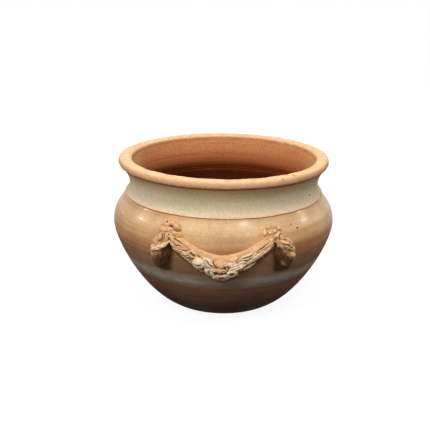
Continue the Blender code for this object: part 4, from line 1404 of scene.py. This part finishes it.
# Marks where shadow and some dust are painted on the belly, under the swag and beside the tails.
def festoon_shadow_and_dust(angle, radius, height):
    """1 right under the swag or beside a tail, and 0 from about two centimetres away from it.

    The angle is folded at a half turn, so that the back's festoon counts too."""
    degrees = (np.degrees(angle) + 90) % 180 - 90
    share = np.clip(degrees / SWAG_END_ANGLE, -1.05, 1.05)
    _, middle = swag_place(share)
    beside = np.maximum(np.abs(degrees) - SWAG_END_ANGLE, 0) * DEGREE_LENGTH
    below = np.hypot(np.maximum(middle - height, 0), beside)
    edge = 0.8 * swag_radius(share)
    swag = np.where(height > middle, 0.0, 1 - smooth_step(below, edge, edge + SWAG_SHADOW_AND_DUST))
    down = np.clip((TAIL_TOP - height) / TAIL_DROP, 0.0, 1.0)
    across = (np.abs(degrees) - TAIL_TOP_ANGLE - TAIL_SPREAD * down) * DEGREE_LENGTH
    under = np.maximum(TAIL_TOP - TAIL_DROP - height, 0.0)
    reach = np.where(across < 0, TAIL_SHADOW_AND_DUST_BESIDE_SWAG, TAIL_SHADOW_AND_DUST_OUTSIDE)
    tail = 1 - smooth_step(np.hypot(across, under), TAIL_HALF_WIDTH, reach)
    tail = tail * (1 - smooth_step(height, 0.160, 0.176)) * smooth_step(height, 0.100, 0.114)
    return np.maximum(0.9 * swag, tail)


def belly_relief(angle, radius, height):
    """Up to 0.7 mm into the clay: slow swellings, and bands, which are lumps squeezed in height."""
    place = round_axis(radius, angle, height)
    slow = 0.0003 * (1 + 0.6 * lumps(place, 0.12, 21)) * smooth_step(height, 0.0005, 0.006)
    inside = radius < wall_radius(height) - HALF_WALL
    squeezed = place * np.array([0.06, 0.06, 1.0])
    ring = 0.5 + 0.5 * lumps(squeezed, 0.011, 22, waves=6)
    return slow + np.where(inside, 0.0002 * ring, 0.00004 * ring)


def turned_piece(name, stands_for, materials, outline, spacing, columns, relief, shade_and_dust=None,
                 inside=None):
    """Walks and turns an outline. The function for painted shade and dust gives the points their mark, and
    inside places the second material.
    """
    outline = walk(outline, spacing)
    angle = np.linspace(0, 2 * np.pi, columns, endpoint=False)[None, :]
    points = turn(angle, outline, relief)
    radius, height = outline[:, :1], outline[:, 1:]
    crease = shade_and_dust(angle, radius, height) if shade_and_dust else 0.0
    marks = {"crease": np.broadcast_to(crease, points.shape[:2])}
    piece = new_piece(name, points, ring_faces(*points.shape[:2]), materials, marks, stands_for)
    if inside:
        flags = np.repeat(inside(outline[:, 0], outline[:, 1]), columns)
        piece.data.polygons.foreach_set("material_index", flags.astype(np.int32))
    print(name, len(outline), "x", columns, "points")


def in_belly(radius, height):
    return (radius < wall_radius(height) - HALF_WALL) & (height > 0.006)


turned_piece("belly_shell", "belly_wall", [BELLY_CLAY, LINING_CLAY], belly_outline(),
             spacing=0.0036, columns=600, relief=belly_relief, shade_and_dust=festoon_shadow_and_dust, inside=in_belly)

# %% The collar, the rim and the base
# Chips: angle round the bowl, angle round the section, reach and depth.
RIM_CHIPS = (
    (136.6, 150.0, 0.0045, 0.0012), (128.0, 152.0, 0.0080, 0.0010), (117.0, 150.0, 0.0060, 0.0009),
    (38.0, 150.0, 0.0050, 0.0010), (203.0, 60.0, 0.0045, 0.0008), (318.0, 20.0, 0.0040, 0.0007),
    (12.0, 95.0, 0.0030, 0.0004), (150.0, 60.0, 0.0035, 0.0006), (300.0, -10.0, 0.0060, 0.0010),
)
# Swellings of the outer face: angle round the bowl, half width in degrees, and how far out.
RIM_SWELLS = ((268.0, 34.0, 0.0018), (96.0, 20.0, 0.0007))
# The wiped skirt lies inside its radius and below its top, and fingers marked only its upper part.
SKIRT_RADIUS = 0.170
SKIRT_TOP = 0.256
SKIRT_SMOOTH_TO = 0.240
GROOVE_INNER_RADIUS = 0.168
LIP_WIDTH = 0.004


def collar_relief(angle, radius, height):
    """Slow swellings, fine finger lines round the hollow, and a bottom lip worn uneven."""
    place = round_axis(radius, angle, height)
    slow = 0.00025 * (1 + 0.6 * lumps(place, 0.09, 31))
    line = 0.00008 * (0.5 + 0.5 * np.sin(2 * np.pi * height / 0.0042 + 0.5 * lumps(place, 0.2, 32)))
    outside = radius > collar_radius(height) - LIP_WIDTH
    lip = (1 - smooth_step(height, LEDGE_HEIGHT + 0.0002, LEDGE_HEIGHT + 0.0032)) * outside
    worn = 0.00020 * (1 + lumps(place, 0.008, 33)) + 0.00015 * (1 + lumps(place, 0.024, 34))
    return slow + line + lip * worn


def rim_relief(angle, radius, height):
    """Low lumps left by the fingers that rolled the rim, with a few soft chips and swellings."""
    place = round_axis(radius, angle, height)
    bulk = 0.0005 * (1 + 0.8 * lumps(place, 0.045, 41)) + 0.0002 * (1 + 0.8 * lumps(place, 0.012, 42))
    section = np.degrees(np.arctan2(height - RIM_CENTRE[1], radius - RIM_CENTRE[0]))
    for turned_by, around, reach, deep in RIM_CHIPS:
        along = wrap(np.degrees(angle) - turned_by)
        across = wrap(section - around)
        away = np.hypot(np.radians(along) * radius, np.radians(across) * RIM_COIL_RADIUS) / reach
        bulk = bulk + deep * (1 - smooth_step(away, 0.30, 1.0))
    outer_face = smooth_step(np.cos(np.radians(section)), 0.3, 0.9)
    for turned_by, half_width, out in RIM_SWELLS:
        along = wrap(np.degrees(angle) - turned_by)
        bulk = bulk - out * outer_face * np.exp(-((along / half_width) ** 2))
    skirt = (height < SKIRT_TOP) & (radius < SKIRT_RADIUS)
    bulk = bulk * np.where(skirt, smooth_step(height, SKIRT_SMOOTH_TO, SKIRT_TOP), 1.0)
    hidden = (height < RIM_UNDERSIDE + 0.0006) & (radius > GROOVE_INNER_RADIUS)
    return np.where(hidden, 0.0, bulk)


def base_relief(angle, radius, height):
    return 0.00015 * (1 + lumps(round_axis(radius, angle, height), 0.02, 51))


def collar_ledge_shade(angle, radius, height):
    """Painted shade on the collar's outer bottom edge, where it overhangs the shoulder."""
    return (1 - smooth_step(height, LEDGE_HEIGHT, LEDGE_HEIGHT + 0.001)) * (radius > NECK_RADIUS)


def in_collar(radius, height):
    return radius < collar_radius(height) - HALF_WALL


turned_piece("collar_shell", "neck_collar", [COLLAR_CLAY, LINING_CLAY], collar_outline(),
             spacing=0.0012, columns=480, relief=collar_relief, shade_and_dust=collar_ledge_shade, inside=in_collar)
turned_piece("rim_roll", "rim_coil", [RIM_CLAY], rim_outline(), spacing=0.0011, columns=860,
             relief=rim_relief)
turned_piece("base_disc", "base_slab", [BASE_CLAY], BASE_OUTLINE, spacing=0.0012, columns=200,
             relief=base_relief)

# %% [markdown]
# ## Floor, light and camera
#
# The photograph of the bowl is cut out on white, under a soft light from above. A bright sky gives part of
# that: it fills the upper half and leaves the lower belly dark by itself, since the clay there faces the
# floor. An overhead softbox, a window softbox and a low fill light give the rest, and show in no
# reflection. Three small softboxes draw the highlights on the wet-looking shoulder. The camera sees the sky
# and the floor as white, while the light that they send to the bowl stays at its own level.

# %% Floor and sky
FLOOR_HALF = 6.0
HORIZON_LEVEL = 0.24
ZENITH_LEVEL = 0.90


def seen_by_camera(tree):
    """1 for rays from the camera, straight, mirrored or let through, and 0 for light that reaches clay."""
    path = node(tree, "LightPath").outputs
    direct = calculate(tree, "MAXIMUM", path["Is Camera Ray"], path["Is Glossy Ray"])
    return calculate(tree, "MAXIMUM", direct, path["Is Transmission Ray"])


def make_floor():
    """A plain floor. Seen directly or in a reflection it is nearly white, and it keeps the shadow."""
    mesh = bpy.data.meshes.new("floor")
    corners = [(x * FLOOR_HALF, y * FLOOR_HALF, 0) for x, y in ((-1, -1), (1, -1), (1, 1), (-1, 1))]
    mesh.from_pydata(corners, [], [(0, 1, 2, 3)])
    floor = add_object("floor", mesh)
    material = bpy.data.materials.new("floor_white")
    material.use_nodes = True
    tree = material.node_tree
    tree.nodes.remove(tree.nodes["Principled BSDF"])
    shadowed = node(tree, "BsdfDiffuse", {"Color": (0.16, 0.16, 0.16, 1.0)})
    glow = node(tree, "Emission", {"Color": (1.0, 1.0, 1.0, 1.0), "Strength": 0.90})
    seen = node(tree, "AddShader", {0: shadowed.outputs[0], 1: glow.outputs[0]})
    unseen = node(tree, "BsdfDiffuse", {"Color": (0.06, 0.055, 0.05, 1.0)})
    both = node(tree, "MixShader", {0: seen_by_camera(tree), 1: unseen.outputs[0], 2: seen.outputs[0]})
    feed(tree, tree.nodes["Material Output"].inputs["Surface"], both.outputs[0])
    mesh.materials.append(material)


def make_sky():
    """A dim horizon and a bright zenith for the bowl, and plain white for the camera."""
    world = bpy.data.worlds.new("sky")
    bpy.context.scene.world = world
    world.use_nodes = True
    tree = world.node_tree
    background = tree.nodes["Background"].inputs
    up = axis(tree, node(tree, "TexCoord").outputs["Generated"], "Z")
    sky = node(tree, "MapRange", {"Value": up, "To Min": HORIZON_LEVEL, "To Max": ZENITH_LEVEL}).outputs[0]
    level = node(tree, "MapRange", {"Value": seen_by_camera(tree), "To Min": sky, "To Max": 1.0}).outputs[0]
    feed(tree, background["Strength"], level)
    feed(tree, background["Color"], (1.0, 1.0, 1.0, 1.0))


make_floor()
make_sky()

# %% Lamps
BOWL_MIDDLE = (0.0, 0.0, 0.16)
# Each lamp: angle round the bowl from its front, elevation, distance, width, height, watts.
LAMPS = {
    "overhead_softbox": (-10.0, 74.0, 2.2, 1.0, 1.0, 13.0),
    "window_softbox": (-30.0, 39.0, 2.4, 1.3, 0.9, 22.0),
    "low_fill": (2.0, 6.0, 2.4, 1.2, 0.5, 2.2),
    "left_softbox": (-99.2, 24.5, 2.32, 0.18, 0.20, 4.0),
    "front_softbox": (29.4, 53.7, 2.33, 0.20, 0.20, 9.0),
    "right_softbox": (99.6, 26.2, 2.31, 0.26, 0.20, 4.6),
}
HIGHLIGHTS = ("left_softbox", "front_softbox", "right_softbox")


def make_lamp(name, angle, elevation, distance, width, height, watts):
    """An area lamp that far from the bowl in that direction, facing its middle."""
    light = bpy.data.lights.new(name, "AREA")
    light.shape = "RECTANGLE"
    light.size, light.size_y, light.energy = width, height, watts
    lamp = add_object(name, light)
    around, up = math.radians(angle), math.radians(elevation)
    lamp.location = BOWL_MIDDLE + distance * round_axis(math.cos(up), around, math.sin(up))
    lamp.rotation_euler = (math.radians(90 - elevation), 0.0, around)
    lamp.visible_glossy = name in HIGHLIGHTS


for lamp_name, settings in LAMPS.items():
    make_lamp(lamp_name, *settings)

# %% Camera
CAMERA_PLACE = (0.0, -1.3398, 0.5902)
CAMERA_AIM = (-0.0151, -0.008, 0.1547)
CAMERA_ROLL = 0.5
FOCAL_LENGTH = 63.95
SENSOR_WIDTH = 36.0


def make_camera():
    """Looks from its place at its aim, and is rolled a little, as the real camera was."""
    camera = bpy.data.cameras.new("camera")
    camera.lens, camera.sensor_width = FOCAL_LENGTH, SENSOR_WIDTH
    holder = add_object("camera", camera)
    look = Vector(CAMERA_AIM) - Vector(CAMERA_PLACE)
    facing = look.to_track_quat("-Z", "Y").to_matrix() @ Matrix.Rotation(math.radians(CAMERA_ROLL), 3, "Z")
    holder.matrix_world = Matrix.Translation(CAMERA_PLACE) @ facing.to_4x4()
    bpy.context.scene.camera = holder


make_camera()
bpy.context.scene.view_settings.view_transform = "Standard"

# %% [markdown]
# ## A count of the pieces
#
# The dressed bowl's pieces and their faces are counted. The dressed bowl must stay inside the imported
# model's box.

# %% Count the pieces and finish
faces_in_all = sum(len(piece.data.polygons) for piece in ALL_PIECES)
print(len(ALL_PIECES), "pieces,", faces_in_all, "faces")
